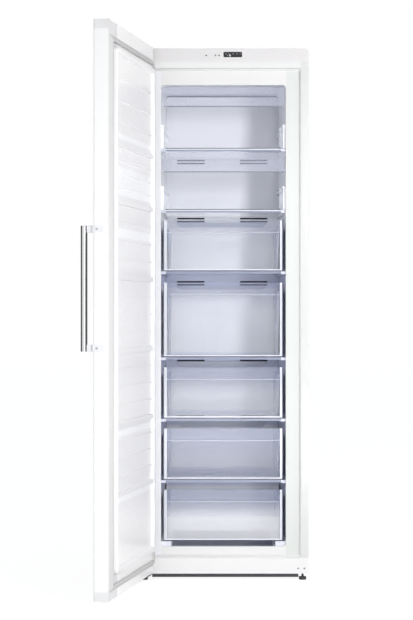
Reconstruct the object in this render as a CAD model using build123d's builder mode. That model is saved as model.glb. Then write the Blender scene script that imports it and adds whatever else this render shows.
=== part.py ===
from build123d import *
import os

# Upright frost-free freezer, modelled at real size in millimetres and shown with its door open.
# +X is to the right as seen from the front, the front faces -Y and +Z is up. The origin is on
# the floor under the middle of the cabinet.

# ---------------------------------------------------------------- cabinet
CABINET_WIDTH = 595.0
CABINET_HEIGHT = 1855.0
CABINET_DEPTH = 595.0
CABINET_BOTTOM = 22.0
TOP_CORNER_RADIUS = 12.0
SHEET = 1.0
RETURN_WIDTH = 24.0
FRONT_RAIL_TOP = 76.0
FRONT_RAIL_SHEET = 1.5
PAN_SHEET = 1.5
POCKET_END = 4.0
POCKET_SIDE = 1.0

# ---------------------------------------------------------------- control fascia
FASCIA_HEIGHT = 46.0
FASCIA_DEPTH = 40.0
FASCIA_WALL = 2.5
TOP_STRIP_HEIGHT = 21.0
WINDOW_LEFT = 0.0
WINDOW_WIDTH = 65.0
WINDOW_HEIGHT = 19.0
WINDOW_BOTTOM_GAP = 15.0
WINDOW_RADIUS = 3.0
BOARD_THICKNESS = 1.6
BOARD_SPACING = 6.0
BOARD_LEFT_REACH = 90.0
BOARD_RIGHT_REACH = 20.0
DISPLAY_SIDE_MARGIN = 4.0
DISPLAY_EDGE_MARGIN = 2.0
TOUCH_PADS = (-60.0, -26.0, -14.0)
TOUCH_PAD_RADIUS = 4.0
TOUCH_PAD_RISE = 8.0

# ---------------------------------------------------------------- inner liner
LINER_WALL = 2.5
REBATE_DEPTH = 14.0
MOUTH_INSET = 79.0
MOUTH_TAPER = 10.0
CEILING_DROP = 59.0
CEILING_RISE = 19.0
SILL_HEIGHT = 39.0
BACK_WALL = 93.0
CAVITY_RADIUS = 10.0
HUMP_LENGTH = 275.0
HUMP_WALL = 46.0
FLOOR_RUNNER_WIDTH = 36.0
FLOOR_RUNNER_HEIGHT = 16.0
FLOOR_RUNNER_FRONT = 28.0

# ---------------------------------------------------------------- shelves
LOWEST_SHELF_RISE = 15.0
TALL_EXTRA = 86.5
TOP_EXTRA = 6.5
EQUAL_SPACES = 6
GLASS = 4.0
GLASS_FRONT = 30.0
GLASS_SIDE_GAP = 1.5
GLASS_BACK_GAP = 4.0
LEDGE_WIDTH = 10.0
LEDGE_HEIGHT = 6.0
TRIM_HEIGHT = 8.0
TRIM_DEPTH = 12.0
TRIM_FRONT = 28.0
END_CAP_WIDTH = 16.0
END_CAP_PROUD = 2.0
GUIDE_HEIGHT = 78.0
GUIDE_POST_WIDTH = 9.0
GUIDE_POST_PROUD = 8.0
GUIDE_GAP = 1.0

# ---------------------------------------------------------------- drawers
DRAWER_SIDE_GAP = 8.0
DRAWER_FACE = 38.0
DRAWER_FRONT_PLATE = 3.0
DRAWER_HEADROOM = 35.0
TALL_HEADROOM = 39.5
DRAWER_LIFT = 0.5
TUB_INSET = 9.0
TUB_TAPER = 8.0
TUB_WALL = 2.0
TUB_DROP = 30.0
TUB_BACK_GAP = 11.0
TUB_RADIUS = 14.0
TUB_RIM = 4.0
GRIP_BAND = 42.0
FRONT_RIM_WIDTH = 12.0
FRONT_RIM_PROUD = 3.0
FRONT_LIP_HEIGHT = 7.0
GRIP_DEPTH = 15.0
FRONT_CHAMFER = 2.5

# ---------------------------------------------------------------- flaps
FLAP_FACE = 24.0
FLAP_SHEET = 3.0
FLAP_SIDE_GAP = 3.5
FLAP_DROP = 66.0
FLAP_BARREL_RADIUS = 4.0
FLAP_PIN_RADIUS = 2.5
FLAP_TOP_GAP = 5.0
FLAP_CORNER_RADIUS = 12.0

# ---------------------------------------------------------------- door
DOOR_GAP = 10.0
DOOR_THICKNESS = 50.0
DOOR_BOTTOM_RISE = 6.0
DOOR_TOP_DROP = 1.0
DOOR_CORNER_RADIUS = 4.0
DOOR_RETURN = 14.0
DOOR_CAP_HEIGHT = 30.0
DOOR_CAP_WALL = 2.5
DOOR_LINER_SHEET = 2.0
PLATFORM_HEIGHT = 18.0
PLATFORM_INSET = 37.5
PLATFORM_SLOPE = 6.0
PLATFORM_END_GAP = 30.0
PLATFORM_TOP_GAP = 12.0
PLATFORM_RADIUS = 14.0
FIELD_RIM = 14.0
FIELD_DEPTH = 10.0
RIB_HEIGHT = 4.0
RIB_WIDTH = 7.0
RIBS_BETWEEN_LEDGES = 3
DOOR_LEDGE_PROUD = 8.0
DOOR_LEDGE_WIDTH = 16.0
GASKET_BASE_WIDTH = 20.0
GASKET_LIP_WIDTH = 9.0
GASKET_REST_GAP = 0.5
GASKET_EDGE = 4.0
GASKET_RADIUS = 6.0
FIELD_RADIUS = 10.0
DOOR_LEDGE_LEVELS = (354.0, 578.0, 810.0, 1046.0, 1286.0, 1469.0)
DOOR_REST_ANGLE = 101.7

# ---------------------------------------------------------------- hinges
HINGE_INSET = 20.0
HINGE_FORWARD = 40.0
HINGE_PIN_RADIUS = 4.5
HINGE_RUNNING_GAP = 0.06
HINGE_PLATE = 3.5
HINGE_PLATE_WIDTH = 47.0
NOSE_START = 10.0
TOP_PLATE_BACK = 95.0
BOTTOM_PLATE_BACK = 60.0
HINGE_COVER_FRONT = 25.0
HINGE_COVER_HEIGHT = 9.5
HINGE_COVER_WALL = 2.0
PIN_HEAD = 2.0
PIN_AIR = 0.5
PIN_END_GAP = 1.0
BUSH_WALL = 3.0
BUSH_LENGTH = 18.0
COLLAR_RADIUS = 8.0
SCREW_HEAD_RADIUS = 4.5
SCREW_SHANK_RADIUS = 2.5
SCREW_HEAD_HEIGHT = 2.8
SCREW_LENGTH = 9.0
TOP_SCREW_INSETS = ((12.5, 56.0), (42.5, 86.0))
BOTTOM_SCREW_INSETS = ((9.5, 40.0), (35.5, 40.0))
SPARE_SCREW_INSETS = (37.0, 15.0)
SPARE_SCREW_LEVEL = 40.0
SPARE_SCREW_RADIUS = 2.7

# ---------------------------------------------------------------- handle
HANDLE_LENGTH = 396.0
HANDLE_BOTTOM = 811.0
HANDLE_WIDTH = 18.0
HANDLE_THICKNESS = 21.0
HANDLE_RADIUS = 8.0
HANDLE_END_RADIUS = 2.0
HANDLE_STANDOFF = 22.5
HANDLE_EDGE_INSET = 10.0
BRACKET_HEIGHT = 22.0
BRACKET_TAB = 33.0
BRACKET_SHEET = 2.5
BRACKET_SCREW_RADIUS = 1.8
BRACKET_SCREW_HEAD_RADIUS = 3.4
BRACKET_SCREW_DEPTH = -47.5
BRACKET_POST_WIDTH = 13.0

# ---------------------------------------------------------------- feet and rollers
FOOT_RADIUS = 13.0
FOOT_HEIGHT = 10.0
FOOT_STUD_RADIUS = 4.0
FOOT_STUD_TOP = 48.0
STUD_CHAMFER = 1.0
STUD_CLEARANCE = 2.0
FOOT_DEPTH = 15.0
FOOT_INSET = 20.5
NUT_RADIUS = 8.0
NUT_HEIGHT = 9.0
THREAD_GAP = 0.06
ROLLER_RADIUS = 15.0
ROLLER_WIDTH = 14.0
ROLLER_INSET = 48.0
ROLLER_SETBACK = 35.0
ROLLER_POCKET = 2.0
AXLE_RADIUS = 3.0
AXLE_HEAD = 1.5
AXLE_HEAD_RADIUS = 4.8
EAR_SHEET = 2.5
EAR_GAP = 1.0
EAR_REACH = 11.0
EAR_DROP = 6.0
STRIP_BOTTOM = 10.0
STRIP_HINGE_GAP = 1.5
STRIP_RIGHT_INSET = 35.5
STRIP_SHEET = 3.0
STRIP_FLANGE = 12.0
STRIP_SETBACK = 2.0

# ---------------------------------------------------------------- machine compartment
BAY_LENGTH = 223.0
BAY_TOP = 285.0
COMPRESSOR_RADIUS = 78.0
COMPRESSOR_SEAT_RADIUS = 39.0
COMPRESSOR_INSET = 187.5
COMPRESSOR_SETBACK = 110.0
COMPRESSOR_BODY = 110.0
COMPRESSOR_DOME = 42.0
COMPRESSOR_LIFT = 18.0
COMPRESSOR_FOOT_SPREAD_X = 76.0
COMPRESSOR_FOOT_SPREAD_Y = 62.0
COMPRESSOR_FOOT_SHEET = 3.0
TERMINAL_PROUD = 26.0
TERMINAL_SINK = 20.0
TERMINAL_HALF_WIDTH = 30.0
TERMINAL_RISE = 10.0
TERMINAL_HEIGHT = 65.0
GROMMET_RADIUS = 12.0
MOUNT_BOLT_RADIUS = 3.0
MOUNT_NUT_RADIUS = 6.0
MOUNT_NUT_HEIGHT = 5.0
TRAY_WALL = 2.0
TRAY_HEIGHT = 24.0
TRAY_RADIUS = 8.0
TRAY_HALF_LENGTH = 105.0
TRAY_HALF_WIDTH = 75.0
COVER_SHEET = 2.0
COVER_SLOTS = 9
COVER_SLOT_HEIGHT = 6.0
COVER_SLOT_PITCH = 14.0
COVER_SLOT_LENGTH = 150.0
COVER_SLOT_INSET = 182.5
INLET_INSET = 62.5
INLET_HEIGHT = 70.0
INLET_RADIUS = 12.0
INLET_FLANGE = 3.0
INLET_LENGTH = 8.0
INLET_BORE_RADIUS = 4.8

# ---------------------------------------------------------------- cold circuit
TUBE_RADIUS = 3.0
TUBE_BEND = 14.0
CONDENSER_RUNS = 4
CONDENSER_PITCH = 50.0
CONDENSER_SETBACK = 28.0
CONDENSER_BOTTOM = 310.0
CONDENSER_TOP_DROP = 205.0
SUCTION_RADIUS = 4.0
SUCTION_OFFSET = 230.0
DRIER_RADIUS = 9.0
DRIER_LENGTH = 70.0
DRIER_TOP = 180.0
DISCHARGE_LEVEL = 118.0
CROSSING_LEVEL = 200.0
SUCTION_LEVEL = 176.0
EVAPORATOR_SIDE_GAP = 30.0
EVAPORATOR_RISE = 41.0
EVAPORATOR_HEIGHT = 200.0
EVAPORATOR_THICKNESS = 42.0
EVAPORATOR_ROWS = 6
FIN_COUNT = 22
FIN_SHEET = 1.0
SEAT_GAP = 0.3
FAN_RISE = 108.0
FAN_RADIUS = 55.0
FAN_BLADES = 5
FAN_HUB_RADIUS = 16.0
FAN_SHAFT_RADIUS = 3.0
FAN_MOTOR_RADIUS = 30.0
FAN_MOTOR_DEPTH = 22.0
FAN_BAR_SHEET = 3.0
FAN_BAR_HALF_HEIGHT = 8.0
ROTOR_DEPTH = 14.0
SHAFT_PAST = 2.0
BLADE_ROOT = 4.0
BLADE_WIDTH = 22.0
BLADE_SHEET = 1.6
BLADE_ANGLE = 32.0
DRAIN_RADIUS = 8.0
DRAIN_WALL = 1.5
DRAIN_OFFSET = 50.0
DRAIN_FLANGE = 4.0
DRAIN_FLANGE_SHEET = 2.0
PIPE_SETBACK = 22.0
DUCT_SPACE = 62.0
DUCT_COVER_SHEET = 3.0
DUCT_COVER_DROP = 8.0
DUCT_PANEL_INSET = 14.0
DUCT_PANEL_PROUD = 3.0
DUCT_PANEL_MARGIN = 6.0
SLOT_LENGTH = 104.0
SLOT_HEIGHT = 6.0
SLOT_PITCH = 11.0
SLOT_EDGE_GAP = 24.5
SLOT_FLAT = 0.1
SLOT_DROPS = (16.0, 12.0, 30.0, 8.0, 5.0)
OUTLET_PROUD = 12.0
OUTLET_TOP_GAP = 3.0

# ---------------------------------------------------------------- modelling
# how far a cut runs past a face, and a joined piece into its neighbour
OVERRUN = 1.0

# ---------------------------------------------------------------- values that follow
HALF = CABINET_WIDTH / 2
FRONT = -CABINET_DEPTH / 2
FASCIA_BOTTOM = CABINET_HEIGHT - FASCIA_HEIGHT
TOP_STRIP_BOTTOM = FASCIA_BOTTOM - TOP_STRIP_HEIGHT
OPENING_HALF_WIDTH = HALF - MOUTH_INSET
OPENING_TOP = TOP_STRIP_BOTTOM - CEILING_DROP
OPENING_BOTTOM = FRONT_RAIL_TOP + SILL_HEIGHT
CAVITY_BACK_HALF_WIDTH = OPENING_HALF_WIDTH - MOUTH_TAPER
CAVITY_BACK_TOP = OPENING_TOP + CEILING_RISE
CAVITY_DEPTH = CABINET_DEPTH - BACK_WALL
HUMP_DEPTH = CABINET_DEPTH - HUMP_LENGTH
HUMP_TOP = BAY_TOP + HUMP_WALL
BAY_FRONT = CABINET_DEPTH - BAY_LENGTH
REBATE_HALF = HALF - RETURN_WIDTH - LINER_WALL
REBATE_BOTTOM = FRONT_RAIL_TOP + LINER_WALL
REBATE_TOP = TOP_STRIP_BOTTOM - LINER_WALL
PAN_TOP = CABINET_BOTTOM + PAN_SHEET
HINGE_X = -HALF + HINGE_INSET
HINGE_Y = FRONT - HINGE_FORWARD
TOP_SCREWS = [(-HALF + inset, depth) for inset, depth in TOP_SCREW_INSETS]
BOTTOM_SCREWS = [(-HALF + inset, depth) for inset, depth in BOTTOM_SCREW_INSETS]
SPARE_SCREWS = [HALF - inset for inset in SPARE_SCREW_INSETS]
DOOR_BOTTOM = CABINET_BOTTOM + DOOR_BOTTOM_RISE
DOOR_TOP = CABINET_HEIGHT - DOOR_TOP_DROP
DOOR_INNER = -DOOR_GAP
DOOR_OUTER = -DOOR_GAP - DOOR_THICKNESS
PLATFORM_FACE = DOOR_INNER + PLATFORM_HEIGHT
PLATFORM_HALF = HALF - PLATFORM_INSET
PLATFORM_BOTTOM = FRONT_RAIL_TOP + PLATFORM_END_GAP
PLATFORM_TOP = TOP_STRIP_BOTTOM - PLATFORM_TOP_GAP
CAVITY_BACK = CAVITY_DEPTH - SEAT_GAP
DUCT_COVER_FACE = CAVITY_DEPTH - DUCT_SPACE
DUCT_PANEL_HALF_WIDTH = CAVITY_BACK_HALF_WIDTH - DUCT_PANEL_INSET
SLOT_SIDE = DUCT_PANEL_HALF_WIDTH - SLOT_EDGE_GAP - SLOT_LENGTH / 2
GLASS_BACK = DUCT_COVER_FACE - GLASS_BACK_GAP
DRAWER_FRONT_HALF_WIDTH = OPENING_HALF_WIDTH - DRAWER_SIDE_GAP
TUB_TOP_HALF_WIDTH = DRAWER_FRONT_HALF_WIDTH - TUB_INSET
TUB_BOTTOM_HALF_WIDTH = TUB_TOP_HALF_WIDTH - TUB_TAPER
FLAP_HALF_WIDTH = OPENING_HALF_WIDTH - FLAP_SIDE_GAP
STRIP_LEFT = -HALF + HINGE_PLATE_WIDTH + STRIP_HINGE_GAP
STRIP_RIGHT = HALF - STRIP_RIGHT_INSET
ROLLER_DEPTH = CABINET_DEPTH - ROLLER_SETBACK
COMPRESSOR_LEFT = HALF - COMPRESSOR_INSET
COMPRESSOR_DEPTH = CABINET_DEPTH - COMPRESSOR_SETBACK
COVER_SLOT_SIDE = HALF - COVER_SLOT_INSET
INLET_LEFT = -HALF + INLET_INSET
CONDENSER_FRONT = BAY_FRONT + CONDENSER_SETBACK
CONDENSER_TOP = CABINET_HEIGHT - CONDENSER_TOP_DROP
SUCTION_LEFT = COMPRESSOR_LEFT - SUCTION_OFFSET
DRAIN_LEFT = COMPRESSOR_LEFT - DRAIN_OFFSET
PIPE_DEPTH = CAVITY_DEPTH - PIPE_SETBACK
EVAPORATOR_HALF_WIDTH = CAVITY_BACK_HALF_WIDTH - EVAPORATOR_SIDE_GAP
EVAPORATOR_BOTTOM = HUMP_TOP + EVAPORATOR_RISE
FAN_LEVEL = EVAPORATOR_BOTTOM + EVAPORATOR_HEIGHT + FAN_RISE
WINDOW_BOTTOM = FASCIA_BOTTOM + WINDOW_BOTTOM_GAP
DOOR_SKIN_BACK = DOOR_INNER - DOOR_LINER_SHEET
FIELD_HALF = PLATFORM_HALF - PLATFORM_SLOPE - FIELD_RIM
FIELD_BOTTOM = PLATFORM_BOTTOM + PLATFORM_SLOPE + FIELD_RIM
FIELD_TOP = PLATFORM_TOP - PLATFORM_SLOPE - FIELD_RIM
GASKET_HALF = HALF - GASKET_EDGE
GASKET_BOTTOM = FRONT_RAIL_TOP - GASKET_BASE_WIDTH
GASKET_TOP = TOP_STRIP_BOTTOM + GASKET_BASE_WIDTH
BRACKET_LEVELS = (
    HANDLE_BOTTOM + BRACKET_HEIGHT / 2,
    HANDLE_BOTTOM + HANDLE_LENGTH - BRACKET_HEIGHT / 2,
)

# The lowest shelf clears the hump. Above it the spaces are equal but for the tall drawer's
# and the top one, which are a little higher.
FLOOR_LEVEL = OPENING_BOTTOM + FLOOR_RUNNER_HEIGHT
LOWEST_SHELF = HUMP_TOP + LOWEST_SHELF_RISE
SHELF_PITCH = (OPENING_TOP - LOWEST_SHELF - TALL_EXTRA - TOP_EXTRA) / EQUAL_SPACES
TALL_PITCH = SHELF_PITCH + TALL_EXTRA
SHELF_LEVELS = [
    LOWEST_SHELF,
    LOWEST_SHELF + SHELF_PITCH,
    LOWEST_SHELF + 2 * SHELF_PITCH,
    LOWEST_SHELF + 2 * SHELF_PITCH + TALL_PITCH,
    LOWEST_SHELF + 3 * SHELF_PITCH + TALL_PITCH,
    LOWEST_SHELF + 4 * SHELF_PITCH + TALL_PITCH,
]
DRAWER_LEVELS = [FLOOR_LEVEL] + SHELF_LEVELS[:4]
DRAWER_HEIGHTS = [
    LOWEST_SHELF - FLOOR_LEVEL - DRAWER_HEADROOM,
    SHELF_PITCH - DRAWER_HEADROOM,
    SHELF_PITCH - DRAWER_HEADROOM,
    TALL_PITCH - TALL_HEADROOM,
    SHELF_PITCH - DRAWER_HEADROOM,
]
FLAP_TOPS = [SHELF_LEVELS[5] - TRIM_HEIGHT - FLAP_TOP_GAP, OPENING_TOP - FLAP_TOP_GAP]

os.makedirs("parts", exist_ok=True)


# ---------------------------------------------------------------- helpers
def save(piece, name):
    """Label a finished piece and write it under its own name."""
    piece.label = name
    export_step(piece, f"parts/{name}.step")


def swing(piece):
    """Turn a piece drawn on the closed door to where the open door stands at rest."""
    pin_axis = Axis((HINGE_X, HINGE_Y, 0), (0, 0, 1))
    return piece.rotate(pin_axis, -DOOR_REST_ANGLE)


def upright(depth):
    """A vertical plane that faces the front, at a depth behind the cabinet's front."""
    return Plane.XZ.offset(-(FRONT + depth))


def block(left, right, front, back, bottom, top, mode=Mode.ADD):
    """A box given by its sides, its depths behind the cabinet's front and its heights."""
    centre = ((left + right) / 2, FRONT + (front + back) / 2, (bottom + top) / 2)
    with Locations(centre):
        Box(right - left, back - front, top - bottom, mode=mode)


def post(x, depth, bottom, top, radius, mode=Mode.ADD):
    """An upright round bar or, subtracted, an upright round hole."""
    with Locations((x, FRONT + depth, (bottom + top) / 2)):
        Cylinder(radius, top - bottom, mode=mode)


def cross_bar(left, right, depth, level, radius, mode=Mode.ADD):
    """A round bar along X or, subtracted, a hole along X."""
    with Locations((((left + right) / 2), FRONT + depth, level)):
        Cylinder(radius, right - left, rotation=(0, 90, 0), mode=mode)


def deep_bar(x, front, back, level, radius, mode=Mode.ADD):
    """A round bar from front to back or, subtracted, a hole that way."""
    with Locations((x, FRONT + (front + back) / 2, level)):
        Cylinder(radius, back - front, rotation=(90, 0, 0), mode=mode)


def arch_face(depth, half_width, bottom, top, radius):
    """An upright rectangle whose two top corners are round."""
    with BuildSketch(upright(depth)) as face:
        with Locations((0, (bottom + top) / 2)):
            Rectangle(2 * half_width, top - bottom)
        fillet(face.vertices().group_by(Axis.Y)[-1], radius)
    return face.sketch


def rounded_face(plane, centre, width, height, radius):
    """A rounded rectangle on a plane, given by its centre there."""
    with BuildSketch(plane) as face:
        with Locations(centre):
            RectangleRounded(width, height, radius)
    return face.sketch


def wall_half_width(depth):
    """Half the cavity's width at a depth: the moulded side walls close in slightly."""
    share = (depth - REBATE_DEPTH) / (CAVITY_DEPTH - REBATE_DEPTH)
    return OPENING_HALF_WIDTH + share * (CAVITY_BACK_HALF_WIDTH - OPENING_HALF_WIDTH)


def ledge_root(depth):
    """Half the width, at a depth, where a ledge ends inside the moulded wall."""
    return wall_half_width(depth) + OVERRUN


def cavity(growth):
    """The cold space behind the rebate, grown by a wall's thickness on every side."""
    back = CAVITY_DEPTH + growth
    bottom = OPENING_BOTTOM - growth
    hump_front = FRONT + HUMP_DEPTH + growth
    hump_top = HUMP_TOP - growth
    mouth_half = wall_half_width(REBATE_DEPTH) + growth
    back_half = wall_half_width(back) + growth
    with BuildPart() as space:
        with BuildSketch(Plane.XY):
            with BuildLine():
                Polyline(
                    (-mouth_half, FRONT + REBATE_DEPTH),
                    (mouth_half, FRONT + REBATE_DEPTH),
                    (back_half, FRONT + back),
                    (-back_half, FRONT + back),
                    close=True,
                )
            make_face()
        extrude(amount=CABINET_HEIGHT)
        with BuildSketch(Plane.YZ):
            with BuildLine():
                Polyline(
                    (FRONT + REBATE_DEPTH, bottom),
                    (hump_front, bottom),
                    (hump_front, hump_top),
                    (FRONT + back, hump_top),
                    (FRONT + back, CAVITY_BACK_TOP + growth),
                    (FRONT + REBATE_DEPTH, OPENING_TOP + growth),
                    close=True,
                )
            make_face()
        extrude(amount=HALF, both=True, mode=Mode.INTERSECT)
        long_edges = space.edges().filter_by(
            lambda edge: abs((edge % 0.5).Y) > 0.9 and edge.length > HUMP_DEPTH - 2 * REBATE_DEPTH
        )
        fillet(long_edges, CAVITY_RADIUS + growth)
    return space.part


def bent_tube(points, radius, bend):
    """A tube along straight runs with round bends."""
    with BuildPart() as tube:
        with BuildLine() as route:
            FilletPolyline(*points, radius=bend)
        start = route.line @ 0
        with BuildSketch(Plane(start, z_dir=route.line % 0)):
            Circle(radius)
        sweep(path=route.line)
    return tube.part


# ================================================================ cabinet shell
# Painted sheet bent over the sides and the top, with a narrow front return.
with BuildPart() as cabinet_wrapper:
    outer = arch_face(0, HALF, CABINET_BOTTOM, CABINET_HEIGHT, TOP_CORNER_RADIUS)
    inner = arch_face(
        SHEET, HALF - SHEET, 0, CABINET_HEIGHT - SHEET, TOP_CORNER_RADIUS - SHEET
    )
    extrude(outer, amount=-CABINET_DEPTH)
    extrude(inner, amount=-CABINET_DEPTH, mode=Mode.SUBTRACT)
    block(
        -HALF + RETURN_WIDTH,
        HALF - RETURN_WIDTH,
        -OVERRUN,
        2 * SHEET,
        0,
        TOP_STRIP_BOTTOM,
        mode=Mode.SUBTRACT,
    )
    block(-HALF, HALF, -OVERRUN, FRONT_RAIL_SHEET, 0, FRONT_RAIL_TOP, mode=Mode.SUBTRACT)
    block(
        -HALF,
        HALF,
        -OVERRUN,
        FASCIA_DEPTH,
        FASCIA_BOTTOM,
        CABINET_HEIGHT + OVERRUN,
        mode=Mode.SUBTRACT,
    )
    for x, depth in TOP_SCREWS:
        post(
            x,
            depth,
            CABINET_HEIGHT - SHEET - OVERRUN,
            CABINET_HEIGHT + OVERRUN,
            SCREW_SHANK_RADIUS,
            Mode.SUBTRACT,
        )
save(cabinet_wrapper.part, "cabinet_wrapper")

# Raised runners along both sides of the cavity's floor, on which the lowest drawer slides.
with BuildPart() as floor_runners:
    for side in (-1, 1):
        runner_edges = sorted((side * (OPENING_HALF_WIDTH - FLOOR_RUNNER_WIDTH), side * HALF))
        block(
            runner_edges[0],
            runner_edges[1],
            FLOOR_RUNNER_FRONT,
            HUMP_DEPTH + LINER_WALL,
            OPENING_BOTTOM - LINER_WALL,
            FLOOR_LEVEL,
        )
    add(cavity(LINER_WALL / 2), mode=Mode.INTERSECT)

# Moulded inner liner: rebate ring, cavity walls, shelf ledges, guides and floor runners.
with BuildPart() as cabinet_liner:
    add(cavity(LINER_WALL))
    block(
        -REBATE_HALF - LINER_WALL,
        REBATE_HALF + LINER_WALL,
        0,
        REBATE_DEPTH + LINER_WALL,
        REBATE_BOTTOM - LINER_WALL,
        REBATE_TOP + LINER_WALL,
    )
    block(
        -REBATE_HALF,
        REBATE_HALF,
        -OVERRUN,
        REBATE_DEPTH,
        REBATE_BOTTOM,
        REBATE_TOP,
        Mode.SUBTRACT,
    )
    add(cavity(0), mode=Mode.SUBTRACT)
    add(floor_runners.part)
    for side in (-1, 1):
        for level in SHELF_LEVELS:
            with BuildSketch(Plane.XY.offset(level - GLASS - LEDGE_HEIGHT)):
                with BuildLine():
                    Polyline(
                        (side * ledge_root(GLASS_FRONT), FRONT + TRIM_FRONT + TRIM_DEPTH),
                        (side * ledge_root(GLASS_BACK), FRONT + GLASS_BACK),
                        (side * (wall_half_width(GLASS_BACK) - LEDGE_WIDTH), FRONT + GLASS_BACK),
                        (
                            side * (wall_half_width(GLASS_FRONT) - LEDGE_WIDTH),
                            FRONT + TRIM_FRONT + TRIM_DEPTH,
                        ),
                        close=True,
                    )
                make_face()
            extrude(amount=LEDGE_HEIGHT)
        for level in SHELF_LEVELS[4:]:
            rail = level + GUIDE_HEIGHT
            with BuildSketch(Plane.XY.offset(rail)):
                with BuildLine():
                    Polyline(
                        (side * ledge_root(GLASS_FRONT), FRONT + GLASS_FRONT),
                        (side * ledge_root(GLASS_BACK), FRONT + GLASS_BACK),
                        (side * (wall_half_width(GLASS_BACK) - LEDGE_WIDTH), FRONT + GLASS_BACK),
                        (side * (wall_half_width(GLASS_FRONT) - LEDGE_WIDTH), FRONT + GLASS_FRONT),
                        close=True,
                    )
                make_face()
            extrude(amount=LEDGE_HEIGHT)
            inside = side * (wall_half_width(GLASS_FRONT) - GUIDE_POST_PROUD)
            outside = side * ledge_root(GLASS_FRONT)
            block(
                min(inside, outside),
                max(inside, outside),
                GLASS_FRONT + GUIDE_GAP,
                GLASS_FRONT + GUIDE_GAP + GUIDE_POST_WIDTH,
                level + GUIDE_GAP,
                rail,
            )
        for top in FLAP_TOPS:
            pivot_hole = sorted(
                (
                    side * (OPENING_HALF_WIDTH - LINER_WALL),
                    side * (OPENING_HALF_WIDTH + 2 * LINER_WALL),
                )
            )
            cross_bar(
                pivot_hole[0],
                pivot_hole[1],
                FLAP_FACE + FLAP_BARREL_RADIUS,
                top - FLAP_BARREL_RADIUS,
                FLAP_PIN_RADIUS + HINGE_RUNNING_GAP,
                Mode.SUBTRACT,
            )
    for x, radius in ((SUCTION_LEFT, SUCTION_RADIUS), (DRAIN_LEFT, DRAIN_RADIUS)):
        post(x, PIPE_DEPTH, BAY_TOP, HUMP_TOP + OVERRUN, radius + SEAT_GAP, Mode.SUBTRACT)
save(cabinet_liner.part, "cabinet_liner")

# Rigid foam that fills the walls between the wrapper and the liner.
with BuildPart() as cabinet_foam:
    fill = arch_face(
        SHEET, HALF - SHEET, PAN_TOP, CABINET_HEIGHT - SHEET, TOP_CORNER_RADIUS - SHEET
    )
    extrude(fill, amount=-(CABINET_DEPTH - 2 * SHEET))
    block(-HALF, HALF, -OVERRUN, FASCIA_DEPTH, FASCIA_BOTTOM, CABINET_HEIGHT, Mode.SUBTRACT)
    block(-HALF, HALF, -OVERRUN, FRONT_RAIL_SHEET, 0, FRONT_RAIL_TOP, Mode.SUBTRACT)
    block(
        -REBATE_HALF - LINER_WALL,
        REBATE_HALF + LINER_WALL,
        -OVERRUN,
        REBATE_DEPTH + LINER_WALL,
        REBATE_BOTTOM - LINER_WALL,
        REBATE_TOP + LINER_WALL,
        Mode.SUBTRACT,
    )
    add(cavity(LINER_WALL), mode=Mode.SUBTRACT)
    block(-HALF, HALF, BAY_FRONT - SHEET, CABINET_DEPTH, 0, BAY_TOP + SHEET, Mode.SUBTRACT)
    block(
        HALF - SHEET - 3 * TUBE_RADIUS,
        HALF,
        CONDENSER_FRONT - CONDENSER_PITCH / 2,
        CONDENSER_FRONT + (CONDENSER_RUNS - 0.5) * CONDENSER_PITCH,
        BAY_TOP,
        CONDENSER_TOP + CONDENSER_PITCH,
        Mode.SUBTRACT,
    )
    for side in (-1, 1):
        post(
            side * (HALF - FOOT_INSET),
            FOOT_DEPTH,
            0,
            FOOT_STUD_TOP + POCKET_END,
            NUT_RADIUS + 2 * POCKET_SIDE,
            Mode.SUBTRACT,
        )
    pocket_length = SCREW_LENGTH + POCKET_END
    pocket_radius = SPARE_SCREW_RADIUS + POCKET_SIDE
    for x in SPARE_SCREWS:
        deep_bar(x, 0, pocket_length, SPARE_SCREW_LEVEL, pocket_radius, Mode.SUBTRACT)
    for x, depth in TOP_SCREWS:
        post(
            x, depth, CABINET_HEIGHT - pocket_length, CABINET_HEIGHT, pocket_radius, Mode.SUBTRACT
        )
    for x, depth in BOTTOM_SCREWS:
        post(x, depth, 0, CABINET_BOTTOM + pocket_length, pocket_radius, Mode.SUBTRACT)
    for x, radius in ((SUCTION_LEFT, SUCTION_RADIUS), (DRAIN_LEFT, DRAIN_RADIUS)):
        post(x, PIPE_DEPTH, BAY_TOP, HUMP_TOP, radius + SEAT_GAP, Mode.SUBTRACT)
    for level in FLAP_TOPS:
        cross_bar(
            -OPENING_HALF_WIDTH - LINER_WALL - POCKET_END,
            OPENING_HALF_WIDTH + LINER_WALL + POCKET_END,
            FLAP_FACE + FLAP_BARREL_RADIUS,
            level - FLAP_BARREL_RADIUS,
            FLAP_PIN_RADIUS + POCKET_SIDE,
            Mode.SUBTRACT,
        )
save(cabinet_foam.part, "cabinet_foam")

# Flat sheet that closes the back above the machine compartment.
with BuildPart() as back_panel:
    sheet_face = arch_face(
        CABINET_DEPTH - SHEET,
        HALF - SHEET,
        BAY_TOP + SHEET,
        CABINET_HEIGHT - SHEET,
        TOP_CORNER_RADIUS - SHEET,
    )
    extrude(sheet_face, amount=-SHEET)
save(back_panel.part, "back_panel")

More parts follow.
